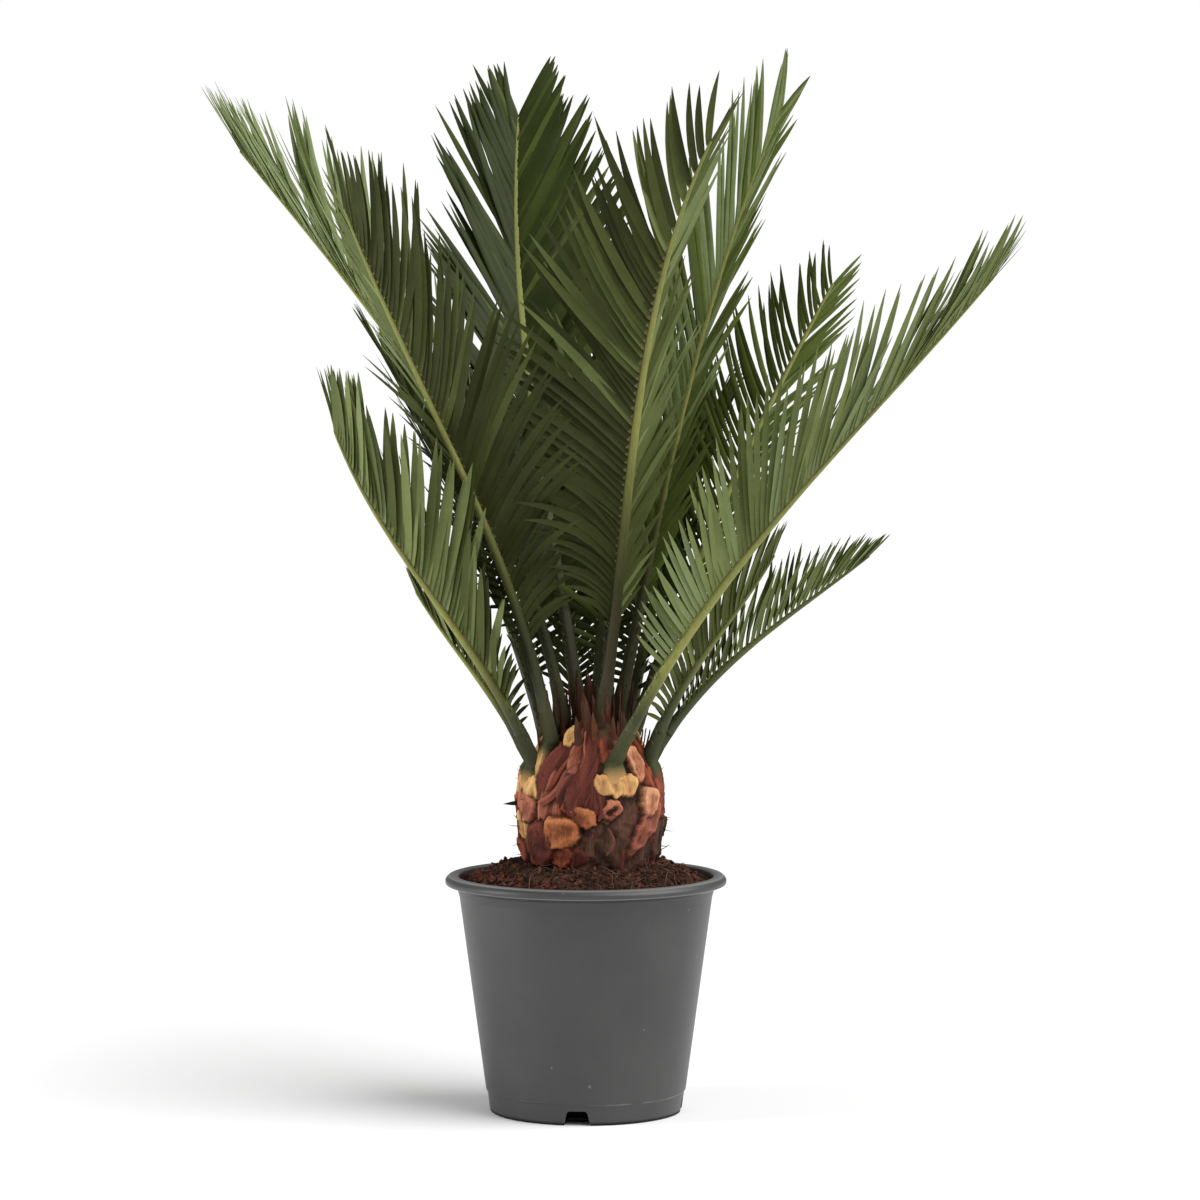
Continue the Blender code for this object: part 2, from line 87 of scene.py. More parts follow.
def finishPiece(piece, nodes, sharp=None):
    # sharp: the angle in degrees past which an edge stays sharp, or None for flat faces
    if sharp:
        piece.data.shade_smooth()
        piece.data.set_sharp_from_angle(angle=math.radians(sharp))
    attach(piece, "root")
    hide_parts(*nodes)
    return piece


def applyModifiers(piece):
    graph = bpy.context.evaluated_depsgraph_get()
    done = piece.evaluated_get(graph)
    mesh = bpy.data.meshes.new_from_object(done, preserve_all_data_layers=True, depsgraph=graph)
    piece.modifiers.clear()
    piece.data = mesh


def storeLayer(mesh, label, kind, values):
    # one number for each point, or three or four
    field = {"FLOAT": "value", "FLOAT_VECTOR": "vector", "FLOAT_COLOR": "color"}[kind]
    rows = values if kind == "FLOAT" else [tuple(v) for v in values]
    layer = mesh.attributes.new(label, kind, "POINT")
    layer.data.foreach_set(field, np.array(rows, dtype=np.float32).ravel())


def addNode(tree, kind, inputs=None, **settings):
    # each input is a plain value or the socket that feeds it
    node = tree.nodes.new(kind)
    for key, value in settings.items():
        setattr(node, key, value)
    for key, value in (inputs or {}).items():
        if isinstance(value, bpy.types.NodeSocket):
            tree.links.new(value, node.inputs[key])
        else:
            node.inputs[key].default_value = value
    return node


def mathNode(tree, operation, a, b=0.0, c=0.0):
    return addNode(tree, "ShaderNodeMath", {0: a, 1: b, 2: c}, operation=operation).outputs[0]


def rangeNode(tree, value, start, end, ease="LINEAR"):
    # 0 at the start and 1 at the end
    wanted = {"Value": value, "From Min": start, "From Max": end}
    return addNode(tree, "ShaderNodeMapRange", wanted, interpolation_type=ease).outputs[0]


def namedNode(tree, name, kind="FLOAT"):
    return addNode(tree, "GeometryNodeInputNamedAttribute", {"Name": name}, data_type=kind).outputs[0]


def storedNode(tree, geometry, name, value, kind, domain):
    wanted = {"Geometry": geometry, "Name": name, "Value": value}
    return addNode(tree, "GeometryNodeStoreNamedAttribute", wanted, data_type=kind, domain=domain).outputs[0]


def paintNode(tree, geometry, material, chosen=True):
    wanted = {"Geometry": geometry, "Selection": chosen, "Material": material}
    return addNode(tree, "GeometryNodeSetMaterial", wanted).outputs[0]


def newTree(name, kind, inputs, outputs):
    # inputs: label to (socket type, value), outputs: label to socket type
    tree = bpy.data.node_groups.new(name, kind)
    for label, (socketType, value) in inputs.items():
        socket = tree.interface.new_socket(label, in_out="INPUT", socket_type=socketType)
        if value is not None:
            socket.default_value = value
    for label, socketType in outputs.items():
        tree.interface.new_socket(label, in_out="OUTPUT", socket_type=socketType)
    return tree, tree.nodes.new("NodeGroupInput").outputs, tree.nodes.new("NodeGroupOutput").inputs


def bakeTree(name, mesh, tree, values, scratch):
    # scratch: the attributes that only the tree needs
    piece = addObject(name, mesh)
    build = piece.modifiers.new("build", "NODES")
    build.node_group = tree
    for item in tree.interface.items_tree:
        if item.item_type == "SOCKET" and item.in_out == "INPUT" and item.name in values:
            build[item.identifier] = values[item.name]
    applyModifiers(piece)
    for label in scratch:
        if label in piece.data.attributes:
            piece.data.attributes.remove(piece.data.attributes[label])
    return piece


# Shader groups: patches of a second colour with a fine grain, and fibres that run up

def noiseNode(tree, vector, scale, detail=3.0, rough=0.6):
    wanted = {"Vector": vector, "Scale": scale, "Detail": detail, "Roughness": rough}
    return addNode(tree, "ShaderNodeTexNoise", wanted).outputs["Fac"]


def mixColour(tree, share, first, second):
    # the Mix node's colours go into its sockets 6 and 7 and come out of 2
    wanted = {0: share, 6: first, 7: second}
    return addNode(tree, "ShaderNodeMix", wanted, data_type="RGBA").outputs[2]


def makePatchGroup():
    colour, number, vector = "NodeSocketColor", "NodeSocketFloat", "NodeSocketVector"
    tree, given, out = newTree(
        "patches", "ShaderNodeTree",
        {
            "Position": (vector, None),
            "First": (colour, (0.5, 0.5, 0.5, 1)), "Second": (colour, (0.2, 0.2, 0.2, 1)),
            "Patch Scale": (number, 60.0), "Second Share": (number, 0.4), "Softness": (number, 0.15),
            "Grain Scale": (number, 900.0), "Grain": (number, 0.2),
        },
        {"Colour": colour, "Height": number},
    )
    coarse = noiseNode(tree, given["Position"], given["Patch Scale"], 4.0)
    middle = mathNode(tree, "SUBTRACT", 1.0, given["Second Share"])
    start = mathNode(tree, "SUBTRACT", middle, given["Softness"])
    end = mathNode(tree, "ADD", middle, given["Softness"])
    share = rangeNode(tree, coarse, start, end, "SMOOTHSTEP")
    patched = mixColour(tree, share, given["First"], given["Second"])
    fine = noiseNode(tree, given["Position"], given["Grain Scale"], 5.0, 0.7)
    spread = mathNode(tree, "SUBTRACT", fine, 0.5)
    strength = mathNode(tree, "MULTIPLY", given["Grain"], 4.0)
    gain = mathNode(tree, "MULTIPLY_ADD", spread, strength, 1.0)
    grained = addNode(tree, "ShaderNodeHueSaturation", {"Value": gain, "Color": patched})
    tree.links.new(grained.outputs[0], out["Colour"])
    tree.links.new(mathNode(tree, "ADD", fine, mathNode(tree, "MULTIPLY", share, 0.4)), out["Height"])
    return tree


def makeFibreGroup():
    colour, number, vector = "NodeSocketColor", "NodeSocketFloat", "NodeSocketVector"
    tree, given, out = newTree(
        "fibres", "ShaderNodeTree",
        {
            "Position": (vector, None),
            "Dark": (colour, (0.05, 0.02, 0.01, 1)), "Light": (colour, (0.3, 0.15, 0.08, 1)),
            "Across": (number, 1200.0), "Up": (number, 60.0), "Contrast": (number, 0.2),
        },
        {"Colour": colour, "Height": number},
    )
    sizes = {0: given["Across"], 1: given["Across"], 2: given["Up"]}
    sizes = addNode(tree, "ShaderNodeCombineXYZ", sizes).outputs[0]
    wanted = {0: given["Position"], 1: sizes}
    stretched = addNode(tree, "ShaderNodeVectorMath", wanted, operation="MULTIPLY").outputs[0]
    strands = noiseNode(tree, stretched, 1.0, 4.0, 0.65)
    start = mathNode(tree, "SUBTRACT", 0.5, given["Contrast"])
    end = mathNode(tree, "ADD", 0.5, given["Contrast"])
    share = rangeNode(tree, strands, start, end)
    tree.links.new(mixColour(tree, share, given["Dark"], given["Light"]), out["Colour"])
    tree.links.new(strands, out["Height"])
    return tree


patchGroup, fibreGroup = makePatchGroup(), makeFibreGroup()


def rgba(colour):
    return (*colour, 1.0)


def startMaterial(name, roughness, specular=0.5):
    made = bpy.data.materials.new(name)
    made.use_nodes = True
    tree = made.node_tree
    shader = tree.nodes["Principled BSDF"]
    shader.inputs["Roughness"].default_value = roughness
    shader.inputs["Specular IOR Level"].default_value = specular
    place = addNode(tree, "ShaderNodeTexCoord").outputs["Object"]
    return made, tree, shader, place


def addBump(tree, shader, height, strength, distance):
    wanted = {"Height": height, "Strength": strength, "Distance": distance}
    tree.links.new(addNode(tree, "ShaderNodeBump", wanted).outputs[0], shader.inputs["Normal"])


def patchMaterial(name, first, second, look, roughness, bump, specular):
    # look: the patch group's own inputs, from Patch Scale to Grain
    made, tree, shader, place = startMaterial(name, roughness, specular)
    values = {"Position": place, "First": rgba(first), "Second": rgba(second), **look}
    group = addNode(tree, "ShaderNodeGroup", values, node_tree=patchGroup)
    tree.links.new(group.outputs["Colour"], shader.inputs["Base Color"])
    addBump(tree, shader, group.outputs["Height"], 0.6, bump)
    return made


print("stage: shader groups ready")


# One tree sweeps a flat or round section along every strand: leaflets, ribs, spines, root fibres and hairs.
# Each strand's points hold halfWidth, skin (the way its upper side faces) and rootness.

def makeSweepTree():
    number, geometry, material = "NodeSocketFloat", "NodeSocketGeometry", "NodeSocketMaterial"
    tree, given, out = newTree(
        "sweepAlong", "GeometryNodeTree",
        {
            "Strands": (geometry, None), "Sides": ("NodeSocketInt", 8),
            "Thickness": (number, 0.1), "Groove": (number, 0.0), "Edge Drop": (number, 0.0),
            "Upper": (material, None), "Lower": (material, None), "Root": (material, None),
        },
        {"Geometry": geometry},
    )
    ring = {"Resolution": given["Sides"], "Radius": 1.0}
    circle = addNode(tree, "GeometryNodeCurvePrimitiveCircle", ring).outputs[0]
    place = addNode(tree, "GeometryNodeInputPosition").outputs[0]
    split = addNode(tree, "ShaderNodeSeparateXYZ", {0: place}).outputs
    x, y = split[0], split[1]
    # the section is thin, has a groove along the middle of its top, and edges that roll down
    thin = mathNode(tree, "MULTIPLY", y, given["Thickness"])
    offMiddle = mathNode(tree, "MULTIPLY", mathNode(tree, "ABSOLUTE", x), 2.2)
    nearMiddle = mathNode(tree, "MAXIMUM", mathNode(tree, "SUBTRACT", 1.0, offMiddle), 0.0)
    top = mathNode(tree, "MULTIPLY", mathNode(tree, "MAXIMUM", y, 0.0), nearMiddle)
    dip = mathNode(tree, "MULTIPLY", top, given["Groove"])
    square = mathNode(tree, "SUBTRACT", mathNode(tree, "MULTIPLY", x, x), 0.33)
    drop = mathNode(tree, "MULTIPLY", square, given["Edge Drop"])
    height = mathNode(tree, "SUBTRACT", mathNode(tree, "SUBTRACT", thin, dip), drop)
    moved = addNode(tree, "ShaderNodeCombineXYZ", {0: height, 1: x, 2: 0.0}).outputs[0]
    # 1 on the underside and 0 on top
    level = mathNode(tree, "SIGN", mathNode(tree, "ROUND", mathNode(tree, "MULTIPLY", y, 3.0)))
    below = mathNode(tree, "MULTIPLY_ADD", level, -0.5, 0.5)
    marked = storedNode(tree, circle, "underside", below, "FLOAT", "POINT")
    shaped = {"Geometry": marked, "Position": moved}
    section = addNode(tree, "GeometryNodeSetPosition", shaped).outputs[0]
    curve = addNode(tree, "GeometryNodeMeshToCurve", {"Mesh": given["Strands"]}).outputs[0]
    facing = {"Curve": curve, "Normal": namedNode(tree, "skin", "FLOAT_VECTOR")}
    turned = addNode(tree, "GeometryNodeSetCurveNormal", facing, mode="FREE").outputs[0]
    width = namedNode(tree, "halfWidth")
    sweep = {"Curve": turned, "Profile Curve": section, "Scale": width, "Fill Caps": True}
    swept = addNode(tree, "GeometryNodeCurveToMesh", sweep).outputs[0]
    result = addNode(tree, "GeometryNodeRealizeInstances", {"Geometry": swept}).outputs[0]
    result = paintNode(tree, result, given["Upper"])
    for label, mask in (("Lower", "underside"), ("Root", "rootness")):
        chosen = mathNode(tree, "GREATER_THAN", namedNode(tree, mask), 0.5)
        result = paintNode(tree, result, given[label], chosen)
    tree.links.new(result, out["Geometry"])
    return tree


sweepTree = makeSweepTree()


def strandMesh(name, strands):
    # strands: dicts of points, halfWidth, skin and, if wanted, rootness and tint, a row for each point
    points, edges, widths, skins, roots, tints = [], [], [], [], [], []
    for strand in strands:
        first, count = len(points), len(strand["points"])
        points += [tuple(p) for p in strand["points"]]
        edges += [(first + i, first + i + 1) for i in range(count - 1)]
        widths += strand["halfWidth"]
        skins += strand["skin"]
        roots += strand.get("rootness", [0.0] * count)
        tints += [rgba(tint) for tint in strand.get("tint", [])]
    mesh = bpy.data.meshes.new(name)
    mesh.from_pydata(points, edges, [])
    storeLayer(mesh, "halfWidth", "FLOAT", widths)
    storeLayer(mesh, "skin", "FLOAT_VECTOR", skins)
    storeLayer(mesh, "rootness", "FLOAT", roots)
    if tints:
        storeLayer(mesh, "tint", "FLOAT_COLOR", tints)
    return mesh


def sweepPiece(name, strands, section, upper, lower=None, root=None):
    # section: the tree's own inputs, from Sides to Edge Drop
    values = {**section, "Upper": upper, "Lower": lower or upper, "Root": root or upper}
    scratch = ("halfWidth", "skin", "rootness", "underside")
    return bakeTree(name, strandMesh(name, strands), sweepTree, values, scratch)


# Pot: a turned plastic shell with a rolled rim, a stepped foot band and drain notches

potSet = {
    "height": 0.143, "rimRadius": 0.085, "wallTop": 0.0768, "foot": 0.0578, "wall": 0.0013,
    "floor": 0.002, "rimDrop": 0.009, "bandHeight": 0.012, "bandStep": 0.0008, "sides": 180,
    "drains": 4, "drainBearing": 265, "drainWidth": 0.0160, "drainTopWidth": 0.0128,
    "drainHeight": 0.0088, "drainReach": 0.014, "drainPast": 0.008, "drainBelow": 0.004,
    "drainRound": 0.0022,
    "grey": (0.030, 0.030, 0.030), "greyWorn": (0.043, 0.043, 0.042),
    "look": {
        "Patch Scale": 22.0, "Second Share": 0.5, "Softness": 0.3, "Grain Scale": 1400.0, "Grain": 0.03,
    },
    # painted highlights: the first colour is for pale streaks at the step above the foot and is also used for
    # the specks; the next colour and the drops below the top give pale bands along the rim's edges
    "paleSpeckAndHighlight": (0.33, 0.33, 0.32), "rimHighlight": (0.190, 0.190, 0.186), "rimHighlightBelowTop": (0.0004, 0.0054),
    # painted shade: the pot's lowest edge goes near black, not at all above the first height and fully below
    # the second
    "soilAndShade": (0.004, 0.004, 0.004), "footShadeFrom": 0.0026, "footShadeFull": 0.0012,
}


def potWall(z, s=potSet):
    foot = s["foot"] + s["bandStep"]
    return foot + (s["wallTop"] - foot) * z / (s["height"] - s["rimDrop"])


def roundedProfile(corners, steps=5):
    # corners: (radius, height, rounding). Each corner becomes a short arc.
    points = []
    for i, (r, z, size) in enumerate(corners):
        here = Vector((r, z))
        if size <= 0 or i in (0, len(corners) - 1):
            points.append(tuple(here))
            continue
        before = (Vector(corners[i - 1][:2]) - here).normalized()
        after = (Vector(corners[i + 1][:2]) - here).normalized()
        start, end = here + before * size, here + after * size
        for k in range(steps + 1):
            t = k / steps
            points.append(tuple(start * (1 - t) ** 2 + here * (2 * t * (1 - t)) + end * t * t))
    return points


def turnProfile(name, points, sides):
    mesh = bpy.data.meshes.new(name)
    mesh.from_pydata([(r, 0, z) for r, z in points], [(i, i + 1) for i in range(len(points) - 1)], [])
    piece = addObject(name, mesh)
    screw = piece.modifiers.new("turn", "SCREW")
    screw.steps = screw.render_steps = sides
    screw.use_merge_vertices = True
    screw.merge_threshold = 1e-5
    applyModifiers(piece)
    return piece


def drainCutter(bearing, s):
    # a notch that narrows upwards, with rounded upper corners
    lowHalf, topHalf = s["drainWidth"] / 2, s["drainTopWidth"] / 2
    top, turn, below = s["drainHeight"], s["drainRound"], s["drainBelow"]
    outline = [(-lowHalf - below * (lowHalf - topHalf) / top, -below)]
    for k in range(5):
        a = math.radians(180 - 90 * k / 4)
        outline.append((-topHalf + turn + turn * math.cos(a), top - turn + turn * math.sin(a)))
    outline += [(-y, z) for y, z in reversed(outline)]
    ends = s["foot"] - s["drainReach"], s["foot"] + s["drainPast"]
    verts = [(x, y, z) for x in ends for y, z in outline]
    n = len(outline)
    faces = [tuple(range(n)), tuple(range(2 * n - 1, n - 1, -1))]
    faces += [(i, n + i, n + (i + 1) % n, (i + 1) % n) for i in range(n)]
    mesh = meshFrom("drainCutter", verts, faces)
    bm = bmesh.new()
    bm.from_mesh(mesh)
    bmesh.ops.recalc_face_normals(bm, faces=bm.faces)
    bm.to_mesh(mesh)
    bm.free()
    mesh.transform(Matrix.Rotation(math.radians(bearing), 4, "Z"))
    return addObject("drainCutter", mesh)


def potMaterial(s):
    made, tree, shader, place = startMaterial("potPlastic", 0.42)
    values = {"Position": place, "First": rgba(s["grey"]), "Second": rgba(s["greyWorn"]), **s["look"]}
    group = addNode(tree, "ShaderNodeGroup", values, node_tree=patchGroup)
    z = addNode(tree, "ShaderNodeSeparateXYZ", {0: place}).outputs[2]
    # painted highlight: faint pale streaks along the step above the foot
    away = mathNode(tree, "ABSOLUTE", mathNode(tree, "SUBTRACT", z, s["bandHeight"] + 0.0006))
    near = mathNode(tree, "MAXIMUM", mathNode(tree, "MULTIPLY_ADD", away, -900.0, 1.0), 0.0)
    drawn = addNode(tree, "ShaderNodeMapping", {"Vector": place, "Scale": (1.0, 1.0, 14.0)}).outputs[0]
    streaks = rangeNode(tree, noiseNode(tree, drawn, 38.0, 5.0, 0.7), 0.5, 0.66)
    stepHighlight = mathNode(tree, "MULTIPLY", mathNode(tree, "MULTIPLY", near, streaks), 0.5)
    # a few pale specks lie all over it
    specks = rangeNode(tree, noiseNode(tree, place, 190.0, 2.0, 0.4), 0.775, 0.80)
    specksAndStepHighlight = mathNode(tree, "MAXIMUM", stepHighlight, mathNode(tree, "MULTIPLY", specks, 0.3))
    # one pale colour serves both the painted highlight at the step and the specks
    colour = mixColour(tree, specksAndStepHighlight, group.outputs["Colour"], rgba(s["paleSpeckAndHighlight"]))
    # painted highlights: two pale bands along the rim's edges
    for drop in s["rimHighlightBelowTop"]:
        off = mathNode(tree, "ABSOLUTE", mathNode(tree, "SUBTRACT", z, s["height"] - drop))
        rimHighlight = mathNode(tree, "MAXIMUM", mathNode(tree, "MULTIPLY_ADD", off, -1600.0, 0.9), 0.0)
        colour = mixColour(tree, rimHighlight, colour, rgba(s["rimHighlight"]))
    # painted shade: the lowest edge is painted near black, a painted contact shadow, and made dull
    soilAndShade = rangeNode(tree, z, s["footShadeFrom"], s["footShadeFull"])
    tree.links.new(mixColour(tree, soilAndShade, colour, rgba(s["soilAndShade"])), shader.inputs["Base Color"])
    rough = mathNode(tree, "MULTIPLY_ADD", group.outputs["Height"], 0.10, 0.36)
    tree.links.new(mathNode(tree, "MAXIMUM", rough, soilAndShade), shader.inputs["Roughness"])
    addBump(tree, shader, group.outputs["Height"], 0.25, 0.00012)
    return made


def makePot(s):
    lip, top, rim, foot = s["height"] - s["rimDrop"], s["height"], s["rimRadius"], s["foot"]
    band, step = s["bandHeight"], s["bandHeight"] + 0.0012
    innerTop = potWall(top) - s["wall"]
    innerFoot = potWall(s["floor"]) - s["wall"] - s["bandStep"]
    corners = [
        (0, s["floor"], 0), (innerFoot, s["floor"], 0.0008),
        (innerTop, top - 0.0012, 0.0004), (innerTop + 0.0014, top, 0.0006),
        (rim - 0.0022, top - 0.0003, 0.0010), (rim, top - 0.0028, 0.0012),
        (rim - 0.0004, top - 0.0054, 0.0006), (rim - 0.0034, top - 0.0066, 0.0008),
        (s["wallTop"] + 0.0010, lip + 0.0012, 0.0012), (potWall(lip - 0.004), lip - 0.004, 0.0005),
        (potWall(step), step, 0.0004), (potWall(band) - s["bandStep"], band, 0.0004),
        (foot + 0.0002, 0.0, 0.0011), (foot - 0.0040, 0.0, 0), (0, 0, 0),
    ]
    pot = turnProfile("pot_shell", roundedProfile(corners), s["sides"])
    cutters = [drainCutter(s["drainBearing"] + 360 * i / s["drains"], s) for i in range(s["drains"])]
    for cutter in cutters:
        cut = pot.modifiers.new("cut", "BOOLEAN")
        cut.operation, cut.object = "DIFFERENCE", cutter
    applyModifiers(pot)
    for cutter in cutters:
        bpy.data.objects.remove(cutter, do_unlink=True)
    pot.data.materials.clear()
    pot.data.materials.append(potMaterial(s))
    return finishPiece(pot, ["pot"], sharp=32)


makePot(potSet)
print("stage: pot made")


# Compost: a rough mound with crumbs, bark chips and root fibres

compostSet = {
    "edgeDrop": 0.006, "moundRise": 0.0075, "moundRadius": 0.047, "gap": 0.0004, "footCut": 0.011,
    "rings": 110, "spokes": 260, "rough": 0.0011, "lumps": 0.0016, "lumpsTo": 0.0745, "fade": 0.006,
    "sunk": 0.0008, "seed": 11,
    # the third colour is a painted shade, near black, for the compost that shows through the drain notches
    "dark": (0.018, 0.0095, 0.0065), "brown": (0.052, 0.024, 0.015), "notchShade": (0.004, 0.003, 0.0025),
    "look": {
        "Patch Scale": 130.0, "Second Share": 0.45, "Softness": 0.1, "Grain Scale": 1500.0, "Grain": 0.35,
    },
}


def compostHeight(r, s=compostSet):
    edge = potWall(potSet["height"]) - potSet["wall"] - s["gap"]
    share = clamp((r - s["moundRadius"]) / (edge - s["moundRadius"]))
    top = potSet["height"] + s["moundRise"]
    return top - (s["moundRise"] + s["edgeDrop"]) * share**1.3


def compostSurface(r, a, s=compostSet):
    # the top's height at a radius and bearing, with lumps that die out at the pot's wall
    x, y = r * math.cos(a), r * math.sin(a)
    inside = clamp((s["lumpsTo"] - r) / s["fade"])
    broad = noise.noise(Vector((x * 60, y * 60, 2.0))) * s["lumps"]
    fine = noise.fractal(Vector((x * 320, y * 320, 5.0)), 0.8, 2.0, 4) * s["rough"]
    return compostHeight(r) + (broad + fine) * (0.35 + 0.65 * inside) - s["sunk"]


def makeCompost(s):
    edge = potWall(potSet["height"] - s["edgeDrop"]) - potSet["wall"] - s["gap"]
    radii = edge * np.linspace(0, 1, s["rings"] + 1)[1:] ** 0.8
    verts = [(0, 0, compostSurface(0, 0))]
    for r in radii:
        for k in range(s["spokes"]):
            a = 2 * math.pi * k / s["spokes"]
            verts.append((r * math.cos(a), r * math.sin(a), compostSurface(r, a)))
    n = s["spokes"]
    faces = [(0, 1 + k, 1 + (k + 1) % n) for k in range(n)]
    for i in range(len(radii) - 1):
        for k in range(n):
            a, b = 1 + i * n + k, 1 + i * n + (k + 1) % n
            faces.append((a, a + n, b + n, b))
    # the side and the foot, inside the pot
    floor = potSet["floor"] + s["gap"]
    footRadius = potWall(floor) - potSet["wall"] - potSet["bandStep"] - s["gap"]
    last = 1 + (len(radii) - 1) * n
    for r, z in ((footRadius + 0.0012, floor + s["footCut"]), (footRadius - s["footCut"], floor)):
        first = len(verts)
        for k in range(n):
            a = 2 * math.pi * k / n
            verts.append((r * math.cos(a), r * math.sin(a), z))
        faces += [(last + k, first + k, first + (k + 1) % n, last + (k + 1) % n) for k in range(n)]
        last = first
    faces.append(tuple(last + k for k in reversed(range(n))))
    piece = addObject("compost_mound", meshFrom("compost_mound", verts, faces))
    soilAndShade = patchMaterial("compostSoil", s["brown"], s["dark"], s["look"], 0.95, 0.0012, 0.1)
    notchShade = patchMaterial("compostNotchShade", s["notchShade"], s["notchShade"], s["look"], 1.0, 0.0005, 0.05)
    piece.data.materials.append(soilAndShade)
    piece.data.materials.append(notchShade)
    # painted shade: near black where it shows through the drain notches
    for face in piece.data.polygons[-2 * n - 1:]:
        face.material_index = 1
    return finishPiece(piece, ["compost"], sharp=60)


crumbSet = {
    "density": 170000.0, "size": (0.0004, 0.0024), "below": 0.002,
    "look": {
        "Patch Scale": 300.0, "Second Share": 0.4, "Softness": 0.1, "Grain Scale": 2500.0, "Grain": 0.3,
    },
    # the two colours, roughness and bump of each kind
    "kinds": {
        "crumbDark": ((0.030, 0.0145, 0.0095), (0.015, 0.0085, 0.0065), 0.95, 0.0004),
        "crumbRust": ((0.085, 0.034, 0.021), (0.040, 0.019, 0.012), 0.9, 0.0004),
        "barkChip": ((0.120, 0.038, 0.027), (0.052, 0.020, 0.014), 0.85, 0.0004),
        "rootFibre": ((0.150, 0.082, 0.052), (0.045, 0.023, 0.015), 0.8, 0.0002),
    },
}
crumbMaterials = {
    name: patchMaterial(name, first, second, crumbSet["look"], rough, bump, 0.1)
    for name, (first, second, rough, bump) in crumbSet["kinds"].items()
}


def randomVector(tree, low, high, seed):
    wanted = {0: low, 1: high, "Seed": seed}
    return addNode(tree, "FunctionNodeRandomValue", wanted, data_type="FLOAT_VECTOR").outputs[0]


def makeCrumbTree():
    # crumbs of two colours over the top of the mound, turned and scaled at random
    number, geometry, material = "NodeSocketFloat", "NodeSocketGeometry", "NodeSocketMaterial"
    tree, given, out = newTree(
        "crumbs", "GeometryNodeTree",
        {
            "Mound": (geometry, None), "Density": (number, 1000.0), "Smallest": (number, 0.0005),
            "Largest": (number, 0.002), "Lowest": (number, 0.13), "Seed": ("NodeSocketInt", 1),
            "Material": (material, None), "Second Material": (material, None),
        },
        {"Geometry": geometry},
    )
    place = addNode(tree, "GeometryNodeInputPosition").outputs[0]
    z = addNode(tree, "ShaderNodeSeparateXYZ", {0: place}).outputs[2]
    onTop = mathNode(tree, "GREATER_THAN", z, given["Lowest"])
    wanted = {
        "Mesh": given["Mound"], "Selection": onTop, "Density": given["Density"], "Seed": given["Seed"]
    }
    points = addNode(tree, "GeometryNodeDistributePointsOnFaces", wanted).outputs[0]
    ball = addNode(tree, "GeometryNodeMeshIcoSphere", {"Radius": 1.0, "Subdivisions": 1}).outputs[0]
    wanted = {2: given["Smallest"], 3: given["Largest"], "Seed": given["Seed"]}
    size = addNode(tree, "FunctionNodeRandomValue", wanted, data_type="FLOAT").outputs[1]
    stretch = randomVector(tree, (0.5, 0.5, 0.35), (1.2, 1.0, 0.8), 7)
    scale = addNode(tree, "ShaderNodeVectorMath", {0: stretch, "Scale": size}, operation="SCALE").outputs[0]
    turn = randomVector(tree, (0.0, 0.0, 0.0), (6.28, 6.28, 6.28), 3)
    rotation = addNode(tree, "FunctionNodeEulerToRotation", {0: turn}).outputs[0]
    wanted = {"Points": points, "Instance": ball, "Rotation": rotation, "Scale": scale}
    spread = addNode(tree, "GeometryNodeInstanceOnPoints", wanted).outputs[0]
    wanted = {"Probability": 0.22, "Seed": 5}
    pale = addNode(tree, "FunctionNodeRandomValue", wanted, data_type="BOOLEAN").outputs[3]
    marked = storedNode(tree, spread, "pale", pale, "BOOLEAN", "INSTANCE")
    real = addNode(tree, "GeometryNodeRealizeInstances", {"Geometry": marked}).outputs[0]
    plain = paintNode(tree, real, given["Material"])
    both = paintNode(tree, plain, given["Second Material"], namedNode(tree, "pale", "BOOLEAN"))
    tree.links.new(both, out["Geometry"])
    return tree


def topFaces(mesh):
    bm = bmesh.new()
    bm.from_mesh(mesh)
    bmesh.ops.delete(bm, geom=[face for face in bm.faces if face.material_index == 1], context="FACES")
    top = bpy.data.meshes.new("moundTop")
    bm.to_mesh(top)
    bm.free()
    return top


def makeCrumbs(mound, s):
    values = {
        "Density": s["density"], "Smallest": s["size"][0], "Largest": s["size"][1],
        "Lowest": potSet["height"] - compostSet["edgeDrop"] - s["below"], "Seed": compostSet["seed"],
        "Material": crumbMaterials["crumbDark"], "Second Material": crumbMaterials["crumbRust"],
    }
    piece = bakeTree("compost_crumbs", topFaces(mound.data), makeCrumbTree(), values, ("pale",))
    return finishPiece(piece, ["compost"])


# most chips lie all over the mound, and a share of them drifts to one part of its edge
chipSet = {
    "count": 280, "reach": 0.075, "spread": (0.15, 0.97),
    "driftShare": 0.4, "driftRadius": (0.062, 0.0745), "driftBearing": 205, "driftWidth": 28,
    "long": (0.0025, 0.0085), "wide": (0.0012, 0.0036), "thick": (0.0005, 0.0012),
    "lean": 22, "flatShare": 0.85, "steep": (35, 70), "lift": 0.0007, "underside": 0.86,
}


